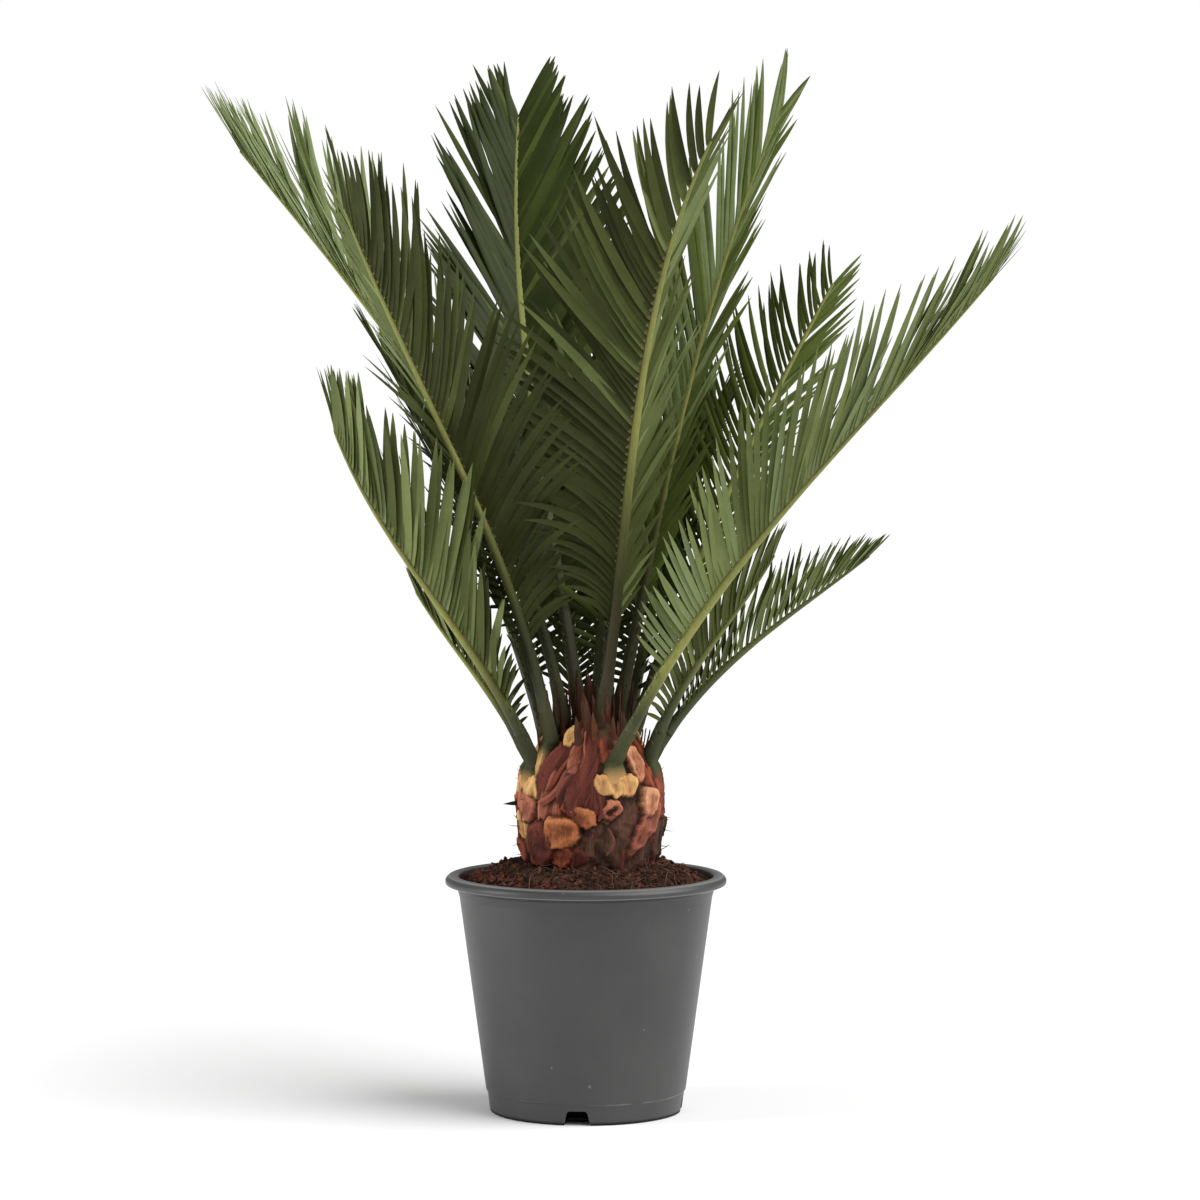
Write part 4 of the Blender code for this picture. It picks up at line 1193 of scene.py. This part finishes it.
trunkSet = {
    "profile": (
        (0.0380, 0.0), (0.0402, 0.008), (0.0412, 0.022), (0.0412, 0.036), (0.0402, 0.044), (0.0380, 0.052),
        (0.0345, 0.059), (0.0305, 0.065), (0.0265, 0.071), (0.0222, 0.077), (0.0160, 0.082), (0.0060, 0.0855),
    ),
    "grid": (520, 176), "gridFrom": -0.004, "grainRadius": 0.041, "sunk": 0.0024, "lumps": 0.0022,
    "streaks": 0.0007, "seed": 31,
    "kinds": {
        "tan": ((0.580, 0.350, 0.135), (0.400, 0.195, 0.070)),
        "orange": ((0.410, 0.150, 0.058), (0.240, 0.070, 0.029)),
        "pink": ((0.380, 0.135, 0.078), (0.200, 0.060, 0.036)),
        "rust": ((0.240, 0.056, 0.028), (0.110, 0.026, 0.015)),
        "maroon": ((0.128, 0.032, 0.0215), (0.050, 0.0135, 0.0088)),
        "fibre": ((0.094, 0.043, 0.027), (0.036, 0.0165, 0.0105)),
        "salmon": ((0.520, 0.260, 0.140), (0.330, 0.120, 0.060)),
        "rose": ((0.270, 0.085, 0.052), (0.150, 0.045, 0.030)),
    },
    "edgeTint": (0.300, 0.115, 0.075), "holedFrom": 0.0019,
    # leaf bases in front: bearing, height, width, tall, stand-out, lean, roll, hollow, kind
    "frontPads": (
        (252, 0.0060, 0.026, 0.016, 0.0016, 0.1, 0, 0.0004, "maroon"),
        (270, 0.0080, 0.034, 0.030, 0.0008, 0.1, 0, 0.0002, "fibre"),
        (290, 0.0210, 0.050, 0.050, 0.0012, 0.1, 6, 0.0002, "fibre"),
        (310, 0.0080, 0.034, 0.030, 0.0008, 0.1, 0, 0.0002, "fibre"),
        (344, 0.0170, 0.020, 0.032, 0.0020, 0.1, 8, 0.0005, "fibre"),
        (1, 0.0150, 0.022, 0.030, 0.0030, 0.1, 0, 0.0006, "fibre"),
        (3, 0.0380, 0.020, 0.022, 0.0040, 0.2, 0, 0.0010, "rust"),
        (197, 0.0240, 0.018, 0.020, 0.0034, 0.3, -6, 0.0008, "tan"),
        (190, 0.0080, 0.020, 0.018, 0.0028, 0.3, 0, 0.0008, "rust"),
        (243, 0.0080, 0.020, 0.018, 0.0030, 0.2, 20, 0.0006, "rust"),
        (225, 0.0140, 0.026, 0.033, 0.0054, 0.1, -6, 0.0004, "maroon"),
        (206, 0.0350, 0.025, 0.022, 0.0044, 0.3, 10, 0.0006, "pink"),
        (246, 0.0215, 0.027, 0.0240, 0.0058, 0.3, -14, 0.0003, "orange"),
        (264, 0.0310, 0.0190, 0.0150, 0.0052, 0.2, 6, 0.0003, "orange"),
        (287, 0.0350, 0.0145, 0.0145, 0.0044, 0.2, 0, 0.0020, "pink"),
        (320, 0.0230, 0.016, 0.046, 0.0038, 0.1, 40, 0.0006, "rose"),
        (323, 0.0390, 0.017, 0.021, 0.0054, 0.3, 14, 0.0004, "salmon"),
        (338, 0.0500, 0.020, 0.022, 0.0040, 0.2, 6, 0.0008, "rust"),
        (317, 0.0600, 0.015, 0.024, 0.0050, 0.3, 4, 0.0004, "salmon"),
        (347, 0.0350, 0.018, 0.020, 0.0042, 0.3, 0, 0.0010, "rust"),
        (243, 0.0745, 0.010, 0.012, 0.0058, 0.1, 0, 0.0006, "tan"),
    ),
    "frontWindow": (182, 366), "rows": (0.008, 0.0205, 0.033, 0.0455), "perRow": 11,
    "mix": (("orange", "pink", "rust", "tan", "fibre", "maroon"), (0.28, 0.12, 0.26, 0.08, 0.10, 0.16)),
    "padWide": (0.020, 0.026), "padTall": (0.0145, 0.0185), "padStand": (0.0036, 0.0056),
    "padLean": (0.1, 0.35), "padHollow": (0.0006, 0.0018),
    "shingles": 15, "shingleRows": 6, "shinglePitch": 0.0105, "shingleFrom": -0.003,
    "shingleLong": 0.024, "shingleHalf": (0.008, 0.011), "shingleStand": (-0.0004, 0.0010),
    "shingleKinds": ("maroon", "fibre", "maroon", "rust"),
    # dry scales: bearing and height of the foot, length, half width, stand-out, lean to the right, kind
    "dry": (
        (243, 0.0300, 0.048, 0.0120, 0.0026, -4, "rust"), (234, 0.0280, 0.046, 0.0090, 0.0032, 8, "pink"),
        (264, 0.0310, 0.054, 0.0135, 0.0046, 8, "maroon"), (252, 0.0330, 0.044, 0.0080, 0.0036, 14, "rust"),
        (273, 0.0370, 0.040, 0.0095, 0.0030, -8, "maroon"), (228, 0.0400, 0.042, 0.009, 0.0036, 12, "maroon"),
        (281, 0.0500, 0.036, 0.0080, 0.0026, -4, "rust"), (246, 0.0520, 0.036, 0.0085, 0.0042, 10, "maroon"),
        (260, 0.0560, 0.034, 0.0060, 0.0050, -6, "pink"), (270, 0.0610, 0.032, 0.0085, 0.0036, 4, "rust"),
        (331, 0.0440, 0.034, 0.0080, 0.0040, -6, "rust"), (344, 0.0450, 0.032, 0.0085, 0.0044, -4, "rust"),
        (20, 0.0330, 0.046, 0.0120, 0.0036, 4, "maroon"), (48, 0.0400, 0.038, 0.0090, 0.0036, -5, "rust"),
        (76, 0.0350, 0.042, 0.0110, 0.0034, 5, "maroon"), (104, 0.0400, 0.038, 0.0090, 0.0036, -4, "pink"),
        (126, 0.0330, 0.046, 0.0125, 0.0036, 3, "maroon"), (152, 0.0400, 0.038, 0.0090, 0.0036, -3, "rust"),
        (176, 0.0420, 0.036, 0.0090, 0.0034, 5, "maroon"),
        (250, 0.0350, 0.036, 0.0105, 0.0052, 30, "maroon"), (227, 0.0380, 0.040, 0.0020, 0.0058, 48, "rose"),
        (234, 0.0450, 0.034, 0.0016, 0.0055, 38, "rust"), (262, 0.0580, 0.030, 0.0007, 0.0050, 4, "rose"),
    ),
    # the feet: how far from the stalk's start, half width and half thickness
    "flare": (
        (-0.0200, 0.0060, 0.0010), (-0.0150, 0.0086, 0.0026), (-0.0105, 0.0078, 0.0038),
        (-0.0060, 0.0067, 0.0044), (-0.0015, 0.0059, 0.0047), (0.0035, 0.0054, 0.0046),
        (0.0080, 0.0051, 0.0044), (0.0130, 0.0049, 0.0042), (0.0190, 0.0047, 0.0040),
        (0.0260, 0.0044, 0.0037), (0.0330, 0.0030, 0.0026),
    ),
    "footWide": {"frond_right_long": 0.0330, "frond_left_low": 0.0330, "frond_left_front": 0.0090},
    "footTall": 0.0160, "footDrop": 0.0140, "footStand": 0.0060,
    "greenFrom": -0.0150, "greenBy": -0.0060, "narrowFeet": {"frond_left_front": 0.52},
    # darkFeet: feet painted darker, a painted shade for a foot that stands out into the light
    "darkFeet": {"frond_right_long": 0.35},
    "brownFeet": ("frond_front_tall", "frond_back_tall", "frond_right_short", "frond_right_low"),
    "barkLook": {"Across": 1300.0, "Up": 160.0, "Contrast": 0.18},
    "woolLook": {"Across": 1700.0, "Up": 500.0, "Contrast": 0.2},
}


def trunkRadius(h, s=trunkSet):
    return float(np.interp(h, [p[1] for p in s["profile"]], [p[0] for p in s["profile"]]))


def trunkPoint(bearing, h, out=0.0):
    # a point of the trunk's surface, the way out, the way up along it and the way sideways
    a = math.radians(bearing)
    radial = Vector((math.cos(a), math.sin(a), 0))
    slope = (trunkRadius(h + 0.002) - trunkRadius(h - 0.002)) / 0.004
    up = (Vector((0, 0, 1)) + radial * slope).normalized()
    side = Vector((math.sin(a), -math.cos(a), 0))
    facing = side.cross(up).normalized()
    outward = -facing if facing.dot(radial) < 0 else facing
    place = Vector((caudexX, 0, caudexFoot + h)) + radial * trunkRadius(h) + outward * out
    return place, outward, up, side


def mixMany(kind, shares, s):
    # one colour for each share, from the kind's dark colour (0) to its light one (1)
    light, dark = (np.array(c) for c in s["kinds"][kind])
    return dark + (light - dark) * np.clip(shares, 0, 1)[:, None]


def layFibre(s):
    # the surface as a grid of bearings and heights, with how far each vertex stands out and its colour
    spokes, rings = s["grid"]
    bearings = np.arange(spokes) * (360 / spokes)
    heights = np.linspace(s["gridFrom"], s["profile"][-1][1], rings + 1)
    out, streaks = np.empty((rings + 1, spokes)), np.empty((rings + 1, spokes))
    for i, h in enumerate(heights):
        for k, bearing in enumerate(np.radians(bearings)):
            x, y = math.cos(bearing) * s["grainRadius"], math.sin(bearing) * s["grainRadius"]
            streaks[i, k] = noise.noise((x * 900, y * 900, h * 75))
            lump = noise.noise((x * 85, y * 85, h * 85)) + 0.4 * noise.noise((x * 300, y * 300, h * 300))
            out[i, k] = lump * s["lumps"] + streaks[i, k] * s["streaks"] - s["sunk"]
    tint = mixMany("fibre", 0.45 + 0.8 * streaks.ravel(), s).reshape(out.shape + (3,))
    return {"bearings": bearings, "heights": heights, "out": out, "tint": tint}


def nearby(field, bearing, h, roll, reach):
    # the vertices within reach of a place, and where they lie on the surface around it
    turn = (field["bearings"] - bearing + 180) % 360 - 180
    x, y = np.radians(turn)[None, :] * trunkRadius(h), (field["heights"] - h)[:, None]
    c, s = math.cos(math.radians(roll)), math.sin(math.radians(roll))
    across, up = x * c - y * s, x * s + y * c
    rows, cols = np.nonzero((abs(across) < reach) & (abs(up) < reach))
    return rows, cols, across[rows, cols], up[rows, cols]


def noiseAt(x, y, across, up, seed):
    return np.array([noise.noise((a * across, b * up, seed)) for a, b in zip(x, y)])


def cover(field, rows, cols, rise, inside, tint):
    # where a new piece stands higher than what is there, it covers it
    over = inside & (rise > field["out"][rows, cols])
    field["out"][rows[over], cols[over]] = rise[over]
    field["tint"][rows[over], cols[over]] = tint[over]


def softEdge(d, width):
    # 0 at the outline, where d is 1, and 1 from that width inside it
    t = np.clip((1 - d) / width, 0, 1)
    return t * t * (3 - 2 * t)


def layPad(field, pad, s, rng):
    # a thick old leaf base with a steep edge and a hollow, grainy face
    bearing, h, wide, tall, stand, lean, roll, hollow, kind = pad
    rows, cols, x, y = nearby(field, bearing, h, roll, 0.62 * max(wide, tall))
    seed = rng.uniform(0, 90)
    x = x + noiseAt(x, y, 150, 150, seed) * 0.0024 + noiseAt(x, y, 500, 500, seed) * 0.0008
    y = y + noiseAt(x, y, 150, 150, seed + 9) * 0.0024 + noiseAt(x, y, 500, 500, seed + 9) * 0.0008
    holed = hollow > s["holedFrom"]
    power = 2.0 if holed else 2.5
    u, v = x / (wide / 2), y / (tall / 2)
    d = (abs(u / (1 + 0.12 * np.clip(v, -1, 1))) ** power + abs(v) ** power) ** (1 / power)
    edge = softEdge(d, 0.34)
    grain = noiseAt(x, y, 520, 300, seed + 3)
    patch = noiseAt(x, y, 120, 120, seed + 5)
    face = np.clip((0.44 - d) / 0.2, 0, 1) if holed else np.clip(1 - (d / 0.75) ** 2, 0, 1)
    rise = stand * edge * (1 + lean * v) - hollow * face + grain * 0.0004 + patch * 0.0012 * edge
    # painted light and shade: the upper part of the pad is painted lighter and the lower part darker, and the
    # tint darkens towards the outline, a painted shade where the pad drops to its neighbours
    tint = mixMany(kind, 0.50 + 0.8 * patch + 0.25 * grain + 0.30 * v, s) * (0.45 + 0.55 * edge)[:, None]
    if holed:
        tint = tint * (1 - 0.35 * face)[:, None]
    cover(field, rows, cols, rise, d < 1, tint)


def layDry(field, item, s, rng):
    # a thin, dry, pointed scale with folds and streaks along it
    bearing, foot, length, half, stand, lean, kind = item
    rows, cols, x, y = nearby(field, bearing, foot, lean, length)
    seed = rng.uniform(0, 90)
    x = x + noiseAt(x, y, 90, 45, seed) * 0.0050 + noiseAt(x, y, 300, 90, seed + 8) * 0.0012
    t = y / length + noiseAt(x, y, 500, 60, seed + 2) * 0.06
    wide = half * np.interp(t, (0, 0.12, 0.35, 0.7, 1.0), (0.70, 0.95, 1.0, 0.60, 0.02))
    d = abs(x) / wide
    streak, fold = noiseAt(x, y, 900, 30, seed + 3), noiseAt(x, y, 170, 26, seed + 4)
    rise = stand * (0.7 + 0.3 * np.sqrt(np.clip(1 - d, 0, 1))) + fold * 0.0018 + streak * 0.0003
    tint = mixMany(kind, 0.42 + 0.45 * streak + 1.1 * fold + 0.15 * t, s)
    rim = np.clip((d - 0.80) / 0.2, 0, 1) * 0.6 * (0.3 + 1.4 * noiseAt(x, y, 200, 60, seed + 6))
    tint = tint + (np.array(s["edgeTint"]) - tint) * np.clip(rim, 0, 0.6)[:, None]
    cover(field, rows, cols, rise, (d < 1) & (t > 0) & (t < 1), tint)


def layFoot(field, rib, s, rng):
    # the tan, woolly skirt of a stalk's foot, with a ragged lower edge
    base, _, _, _ = rib.frame(0)
    middle, tall = base.z - caudexFoot - s["footDrop"], s["footTall"]
    wide = s["footWide"].get(rib.name, 0.0175 if rib.length > 0.25 else 0.013)
    rows, cols, x, y = nearby(field, math.degrees(rib.footBearing), middle, 0.0, 0.02)
    seed = rng.uniform(0, 90)
    x = x + noiseAt(x, y, 240, 160, seed) * 0.0018
    y = y + noiseAt(x, y, 230, 60, seed + 9) * 0.0030 + noiseAt(x, y, 700, 90, seed + 7) * 0.0012
    v = y / (tall / 2)
    u = x / (wide / 2 * np.interp(v, (-1, 0, 1), (0.85, 1.0, 0.86)))
    d = (u**4 + v**4) ** 0.25
    edge = softEdge(d, 0.25)
    wool = noiseAt(x, y, 700, 160, seed + 3)
    patch = noiseAt(x, y, 200, 120, seed + 4)
    rise = s["footStand"] * edge * (0.75 + 0.25 * np.clip(v, -1, 1)) + wool * 0.0003 + patch * 0.0009
    kind = "rust" if rib.name in s["brownFeet"] else "tan"
    share = s["darkFeet"].get(rib.name, 0.72)
    # painted shade: the tint darkens towards the outline, where the foot meets the trunk, and a foot in
    # darkFeet starts from a darker share
    tint = mixMany(kind, share + 0.28 * wool + 0.6 * patch, s) * (0.5 + 0.5 * edge)[:, None]
    cover(field, rows, cols, rise, d < 1, tint)


def otherPads(s, rng):
    # the rest of the trunk, in rows that are offset by half a pad
    pads = []
    low, high = s["frontWindow"]
    for row, h in enumerate(s["rows"]):
        for k in range(s["perRow"]):
            bearing = (360 * (k + 0.5 * (row % 2)) / s["perRow"] + rng.gauss(0, 3)) % 360
            kind = rng.choices(*s["mix"])[0]
            wide, tall = rng.uniform(*s["padWide"]), rng.uniform(*s["padTall"])
            stand, lean, roll = rng.uniform(*s["padStand"]), rng.uniform(*s["padLean"]), rng.gauss(0, 10)
            if low < bearing < high or bearing < high - 360:
                continue
            pads.append((bearing, h, wide, tall, stand, lean, roll, rng.uniform(*s["padHollow"]), kind))
    return pads


def shingles(s, rng):
    # low, dark scales that fill the gaps between the leaf bases
    found = []
    for row in range(s["shingleRows"]):
        h = s["shinglePitch"] * row + s["shingleFrom"]
        for k in range(s["shingles"]):
            bearing = 360 * (k + 0.5 * (row % 2)) / s["shingles"] + rng.gauss(0, 3)
            kind = rng.choice(s["shingleKinds"])
            half, stand = rng.uniform(*s["shingleHalf"]), rng.uniform(*s["shingleStand"])
            found.append((bearing, h, s["shingleLong"], half, stand, rng.gauss(0, 8), kind))
    return found


def trunkSkin(field):
    # the mesh of the surface, with painted shade where it lies deep between its neighbours and painted light
    # where it stands proud
    out = field["out"]
    soft = out.copy()
    for reach in (1, 2, 4):
        soft = (soft + np.roll(soft, reach, 1) + np.roll(soft, -reach, 1)) / 3
        padded = np.pad(soft, ((reach, reach), (0, 0)), mode="edge")
        soft = (soft + padded[2 * reach :] + padded[: -2 * reach]) / 3
    shade = np.clip(0.86 + (out - soft) / 0.0015, 0.30, 1.15)
    verts = []
    for i, h in enumerate(field["heights"]):
        centre, outward, _, _ = trunkPoint(0, float(h))
        radius, away, rise = centre.x - caudexX, outward.x, outward.z
        for k, bearing in enumerate(np.radians(field["bearings"])):
            reach, z = radius + out[i, k] * away, centre.z + out[i, k] * rise
            verts.append((caudexX + math.cos(bearing) * reach, math.sin(bearing) * reach, z))
    n, rings = len(field["bearings"]), len(field["heights"]) - 1
    faces = []
    for i in range(rings):
        for k in range(n):
            a, b = i * n + k, i * n + (k + 1) % n
            faces.append((a, b, b + n, a + n))
    faces.append(tuple(reversed(range(n))))
    faces.append(tuple(rings * n + k for k in range(n)))
    return {"verts": verts, "faces": faces, "tints": (field["tint"] * shade[..., None]).reshape(-1, 3)}


def loftScale(store, rows, bend=0.0, seed=0.0, segments=20, rough=0.0005, square=0.85):
    # rows: point, side, out, half width, half thickness, tint and how much of the ring's painted shade is
    # left out
    first = len(store["verts"])
    for point, side, out, wide, thick, tint, even in rows:
        for k in range(segments):
            a = 2 * math.pi * k / segments
            x = math.copysign(abs(math.cos(a)) ** square, math.cos(a))
            y = math.copysign(abs(math.sin(a)) ** square, math.sin(a))
            p = point + side * (x * wide) + out * (y * thick - bend * (x * wide) ** 2)
            shift = Vector((seed, seed * 0.7, 0))
            coarse, fine = noise.noise_vector(p * 240 + shift), noise.noise_vector(p * 820 + shift)
            p = p + coarse * rough + fine * (rough * 0.45)
            streak = noise.noise(Vector((x * wide * 900 + seed, y * 3, p.z * 90)))
            p = p + out * (streak * rough * 0.6)
            store["verts"].append(p)
            # painted shade: the ring is darker on the half that faces in and at its two edges
            shade = (0.70 + 0.30 * max(0.0, y)) * (1.0 - 0.22 * abs(x) ** 6) * (1.0 + 0.22 * streak)
            shade += (1.0 - shade) * even
            store["tints"].append(tuple(c * shade for c in tint))
    n = len(rows)
    for i in range(n - 1):
        for k in range(segments):
            a, b = first + i * segments + k, first + i * segments + (k + 1) % segments
            store["faces"].append((a, b, b + segments, a + segments))
    store["faces"].append(tuple(first + k for k in reversed(range(segments))))
    store["faces"].append(tuple(first + (n - 1) * segments + k for k in range(segments)))


def growFoot(store, rib, s, rng):
    # the start of a stalk, which turns from tan wool to green and widens down into its foot
    base, _, _, _ = rib.frame(0)
    foot = math.degrees(rib.footBearing)
    scale = 1.0 if rib.length > 0.25 else 0.72
    low = base.z - caudexFoot
    narrow = s["narrowFeet"].get(rib.name, 1.0)
    path = []
    for reach, half, thick in s["flare"]:
        if reach > 0:
            point, _, _, side = rib.frame(reach / rib.length)
        else:
            point, _, _, side = trunkPoint(foot, low + reach * 0.8, 0.0036 + 0.09 * reach)
            point = point.lerp(base, max(0.0, 1 + reach / 0.008) * 0.6)
        path.append((point, side, half * scale * narrow if reach < 0.002 else half * scale, thick))
    tan, ochre = s["kinds"]["rust" if rib.name in s["brownFeet"] else "tan"]
    seed = rng.uniform(0, 90)
    rows = []
    for i, (point, side, half, thick) in enumerate(path):
        ahead, behind = path[min(i + 1, len(path) - 1)][0], path[max(i - 1, 0)][0]
        along = (ahead - behind).normalized()
        out = along.cross(side).normalized()
        radial = Vector((point.x - caudexX, point.y, 0)).normalized()
        out = -out if out.dot(radial) < 0 else out
        reach = s["flare"][i][0]
        green = clamp((reach - s["greenFrom"]) / (s["greenBy"] - s["greenFrom"]))
        wool = mixTint(ochre, tan, min(1.0, 0.35 + 0.65 * (i / 4)))
        tint = mixTint(wool, stalkColour(rib, 0.06), green)
        rows.append((point, side, out, half, thick, tint, clamp((reach + 0.002) / 0.018)))
    loftScale(store, rows, bend=6.0, seed=seed, rough=0.00045, square=1.0)


crownSet = {
    "count": 84, "turn": 137.5, "spread": 0.030, "foot": 0.004, "section": 12,
    "seatAt": (0.0, 0.016, 0.024, 0.031), "seat": (0.085, 0.083, 0.074, 0.064),
    "bare": (222, 254), "bareFrom": 0.015, "length": (0.020, 0.036), "half": (0.0014, 0.0034),
    "lean": (0.02, 0.22), "kinds": ("maroon", "maroon", "maroon", "rust"), "rows": 9, "thick": 0.0004,
    "tip": (0.16, 0.085, 0.06), "shade": (0.050, 0.036, 0.018),
}


def crownScales(store, s, kinds, rng):
    # thin dry scales that stand between the stalks, long and close round the middle
    for i in range(s["count"]):
        bearing = s["turn"] * i + rng.gauss(0, 6)
        t = i / s["count"]
        radius = s["spread"] * math.sqrt(t) + 0.002
        if s["bare"][0] < bearing % 360 < s["bare"][1] and radius > s["bareFrom"]:
            continue
        h = float(np.interp(radius, s["seatAt"], s["seat"]))
        length = rng.uniform(*s["length"]) * (1.25 - 0.5 * t)
        half = rng.uniform(*s["half"])
        a = math.radians(bearing)
        radial, side = Vector((math.cos(a), math.sin(a), 0)), Vector((math.sin(a), -math.cos(a), 0))
        foot = Vector((caudexX, 0, caudexFoot + h - s["foot"])) + radial * radius
        lean = rng.uniform(*s["lean"]) * (0.3 + t)
        light, dark = kinds[rng.choice(s["kinds"])]
        rows = []
        for k in range(s["rows"]):
            v = k / (s["rows"] - 1)
            rise = Vector((0, 0, 1)) * (length * v) + radial * (length * v * lean) + side * (0.0018 * v * v)
            wide = max(half * (1 - v) ** 0.7 * (0.8 + 0.8 * v), 0.0002)
            tint = mixTint(mixTint(dark, light, rng.random() * 0.7), s["tip"], max(0.0, v - 0.7) * 1.6)
            rows.append((foot + rise, side, radial, wide, s["thick"], mixTint(tint, s["shade"], 0.4), 0.0))
        loftScale(store, rows, bend=20.0, seed=i * 1.7, rough=0.0004, segments=s["section"])


# hairs all over the trunk, and one dark spine on its left: bearing, height, stand-out and length
hairSet = {
    "count": 100, "heights": (0.004, 0.060), "length": (0.004, 0.0085), "from": 0.002,
    "half": (0.00028, 0.00024, 0.00016, 0.00005), "at": (0, 0.35, 0.7, 1),
    "tints": ((0.030, 0.018, 0.012), (0.075, 0.040, 0.025)),
    "spine": (192, 0.036, 0.003, 0.0095), "spineHalf": (0.0018, 0.0014, 0.0007, 0.0001),
    "spineAt": (0, 0.4, 0.75, 1), "spineTint": (0.018, 0.013, 0.010),
    "section": {"Sides": 5, "Thickness": 0.9},
}


def hairStrands(s, rng):
    strands = []
    for _ in range(s["count"]):
        bearing, h = rng.uniform(0, 360), rng.uniform(*s["heights"])
        place, out, up, side = trunkPoint(bearing, h, s["from"])
        way = out * rng.uniform(0.5, 1.2) + up * rng.uniform(-0.2, 1.3) + side * rng.gauss(0, 0.5)
        way.normalize()
        length = rng.uniform(*s["length"])
        bends = [0.0012 * t * t * rng.uniform(-1, 1) for t in s["at"]]
        strands.append({
            "points": [place + way * (length * t) + up * bend for t, bend in zip(s["at"], bends)],
            "halfWidth": list(s["half"]), "skin": [side] * 4, "tint": [rng.choice(s["tints"])] * 4,
        })
    bearing, h, stand, length = s["spine"]
    place, out, up, _ = trunkPoint(bearing, h, stand)
    strands.append({
        "points": [place + out * (length * t) - up * (0.0010 * t) for t in s["spineAt"]],
        "halfWidth": list(s["spineHalf"]), "skin": [up] * 4, "tint": [s["spineTint"]] * 4,
    })
    return strands


def storePiece(name, store, material):
    piece = addObject(name, meshFrom(name, store["verts"], store["faces"]))
    storeLayer(piece.data, "tint", "FLOAT_COLOR", [rgba(tint) for tint in store["tints"]])
    piece.data.materials.append(material)
    return piece


def makeTrunk(s):
    rng = random.Random(s["seed"])
    bark = tintMaterial("barkLook", s["barkLook"], 0.78, 0.0005, 0.74, 1.22, 0.12)
    wool = tintMaterial("woolLook", s["woolLook"], 0.85, 0.0004, 0.82, 1.15, 0.12)
    field = layFibre(s)
    for item in shingles(s, rng):
        layDry(field, item, s, rng)
    for item in s["dry"]:
        layDry(field, item, s, rng)
    for pad in list(s["frontPads"]) + otherPads(s, rng):
        layPad(field, pad, s, rng)
    for rib in ribs.values():
        layFoot(field, rib, s, rng)
    finishPiece(storePiece("trunk_bark", trunkSkin(field), bark), ["caudex"], sharp=70)
    feet, crown = ({"verts": [], "faces": [], "tints": []} for _ in range(2))
    for rib in ribs.values():
        growFoot(feet, rib, s, rng)
    finishPiece(storePiece("stalk_feet", feet, wool), ["caudex"], sharp=70)
    crownScales(crown, crownSet, s["kinds"], rng)
    finishPiece(storePiece("crown_scales", crown, bark), ["bud"], sharp=70)
    hairs = sweepPiece("trunk_hairs", hairStrands(hairSet, rng), hairSet["section"], bark)
    finishPiece(hairs, ["caudex"], sharp=45)


makeTrunk(trunkSet)
print("stage: trunk made")


# Floor, world and lamps

stageSet = {
    "floor": (0.866, 0.866, 0.866), "floorReach": (-40, 40, -20, 90), "worldSeen": 1.0, "worldLight": 0.36,
    "sun": 3.85, "sunTurn": (46, 0, 68), "sunAngle": 64,
    "strip": 15.0, "stripPlace": (-1.45, -0.35, 0.6), "stripAt": (0, 0, 0.2), "stripSize": (0.5, 1.4),
}


def addLamp(name, kind, energy):
    lamp = bpy.data.objects.new(name, bpy.data.lights.new(name, kind))
    lamp.data.energy = energy
    bpy.context.scene.collection.objects.link(lamp)
    return lamp


def makeStage(s):
    left, right, near, far = s["floorReach"]
    corners = [(left, near, 0), (right, near, 0), (right, far, 0), (left, far, 0)]
    floor = addObject("floor", meshFrom("floor", corners, [(0, 1, 2, 3)]))
    made, _, shader, _ = startMaterial("floorPale", 0.9, specular=0.1)
    shader.inputs["Base Color"].default_value = rgba(s["floor"])
    floor.data.materials.append(made)
    # the world is white to the camera and dimmer as a light
    world = bpy.data.worlds.new("world")
    bpy.context.scene.world = world
    world.use_nodes = True
    tree = world.node_tree
    seen = addNode(tree, "ShaderNodeLightPath").outputs["Is Camera Ray"]
    strength = mathNode(tree, "MULTIPLY_ADD", seen, s["worldSeen"] - s["worldLight"], s["worldLight"])
    background = tree.nodes["Background"].inputs
    background["Color"].default_value = (1, 1, 1, 1)
    tree.links.new(strength, background["Strength"])
    sun = addLamp("sun", "SUN", s["sun"])
    sun.data.angle = math.radians(s["sunAngle"])
    sun.rotation_euler = [math.radians(a) for a in s["sunTurn"]]
    strip = addLamp("strip", "AREA", s["strip"])
    strip.data.shape = "RECTANGLE"
    strip.data.size, strip.data.size_y = s["stripSize"]
    strip.location = s["stripPlace"]
    way = Vector(s["stripAt"]) - Vector(s["stripPlace"])
    strip.rotation_euler = way.to_track_quat("-Z", "Y").to_euler()
    bpy.context.scene.view_settings.view_transform = "Standard"


makeStage(stageSet)
print("stage: studio set")
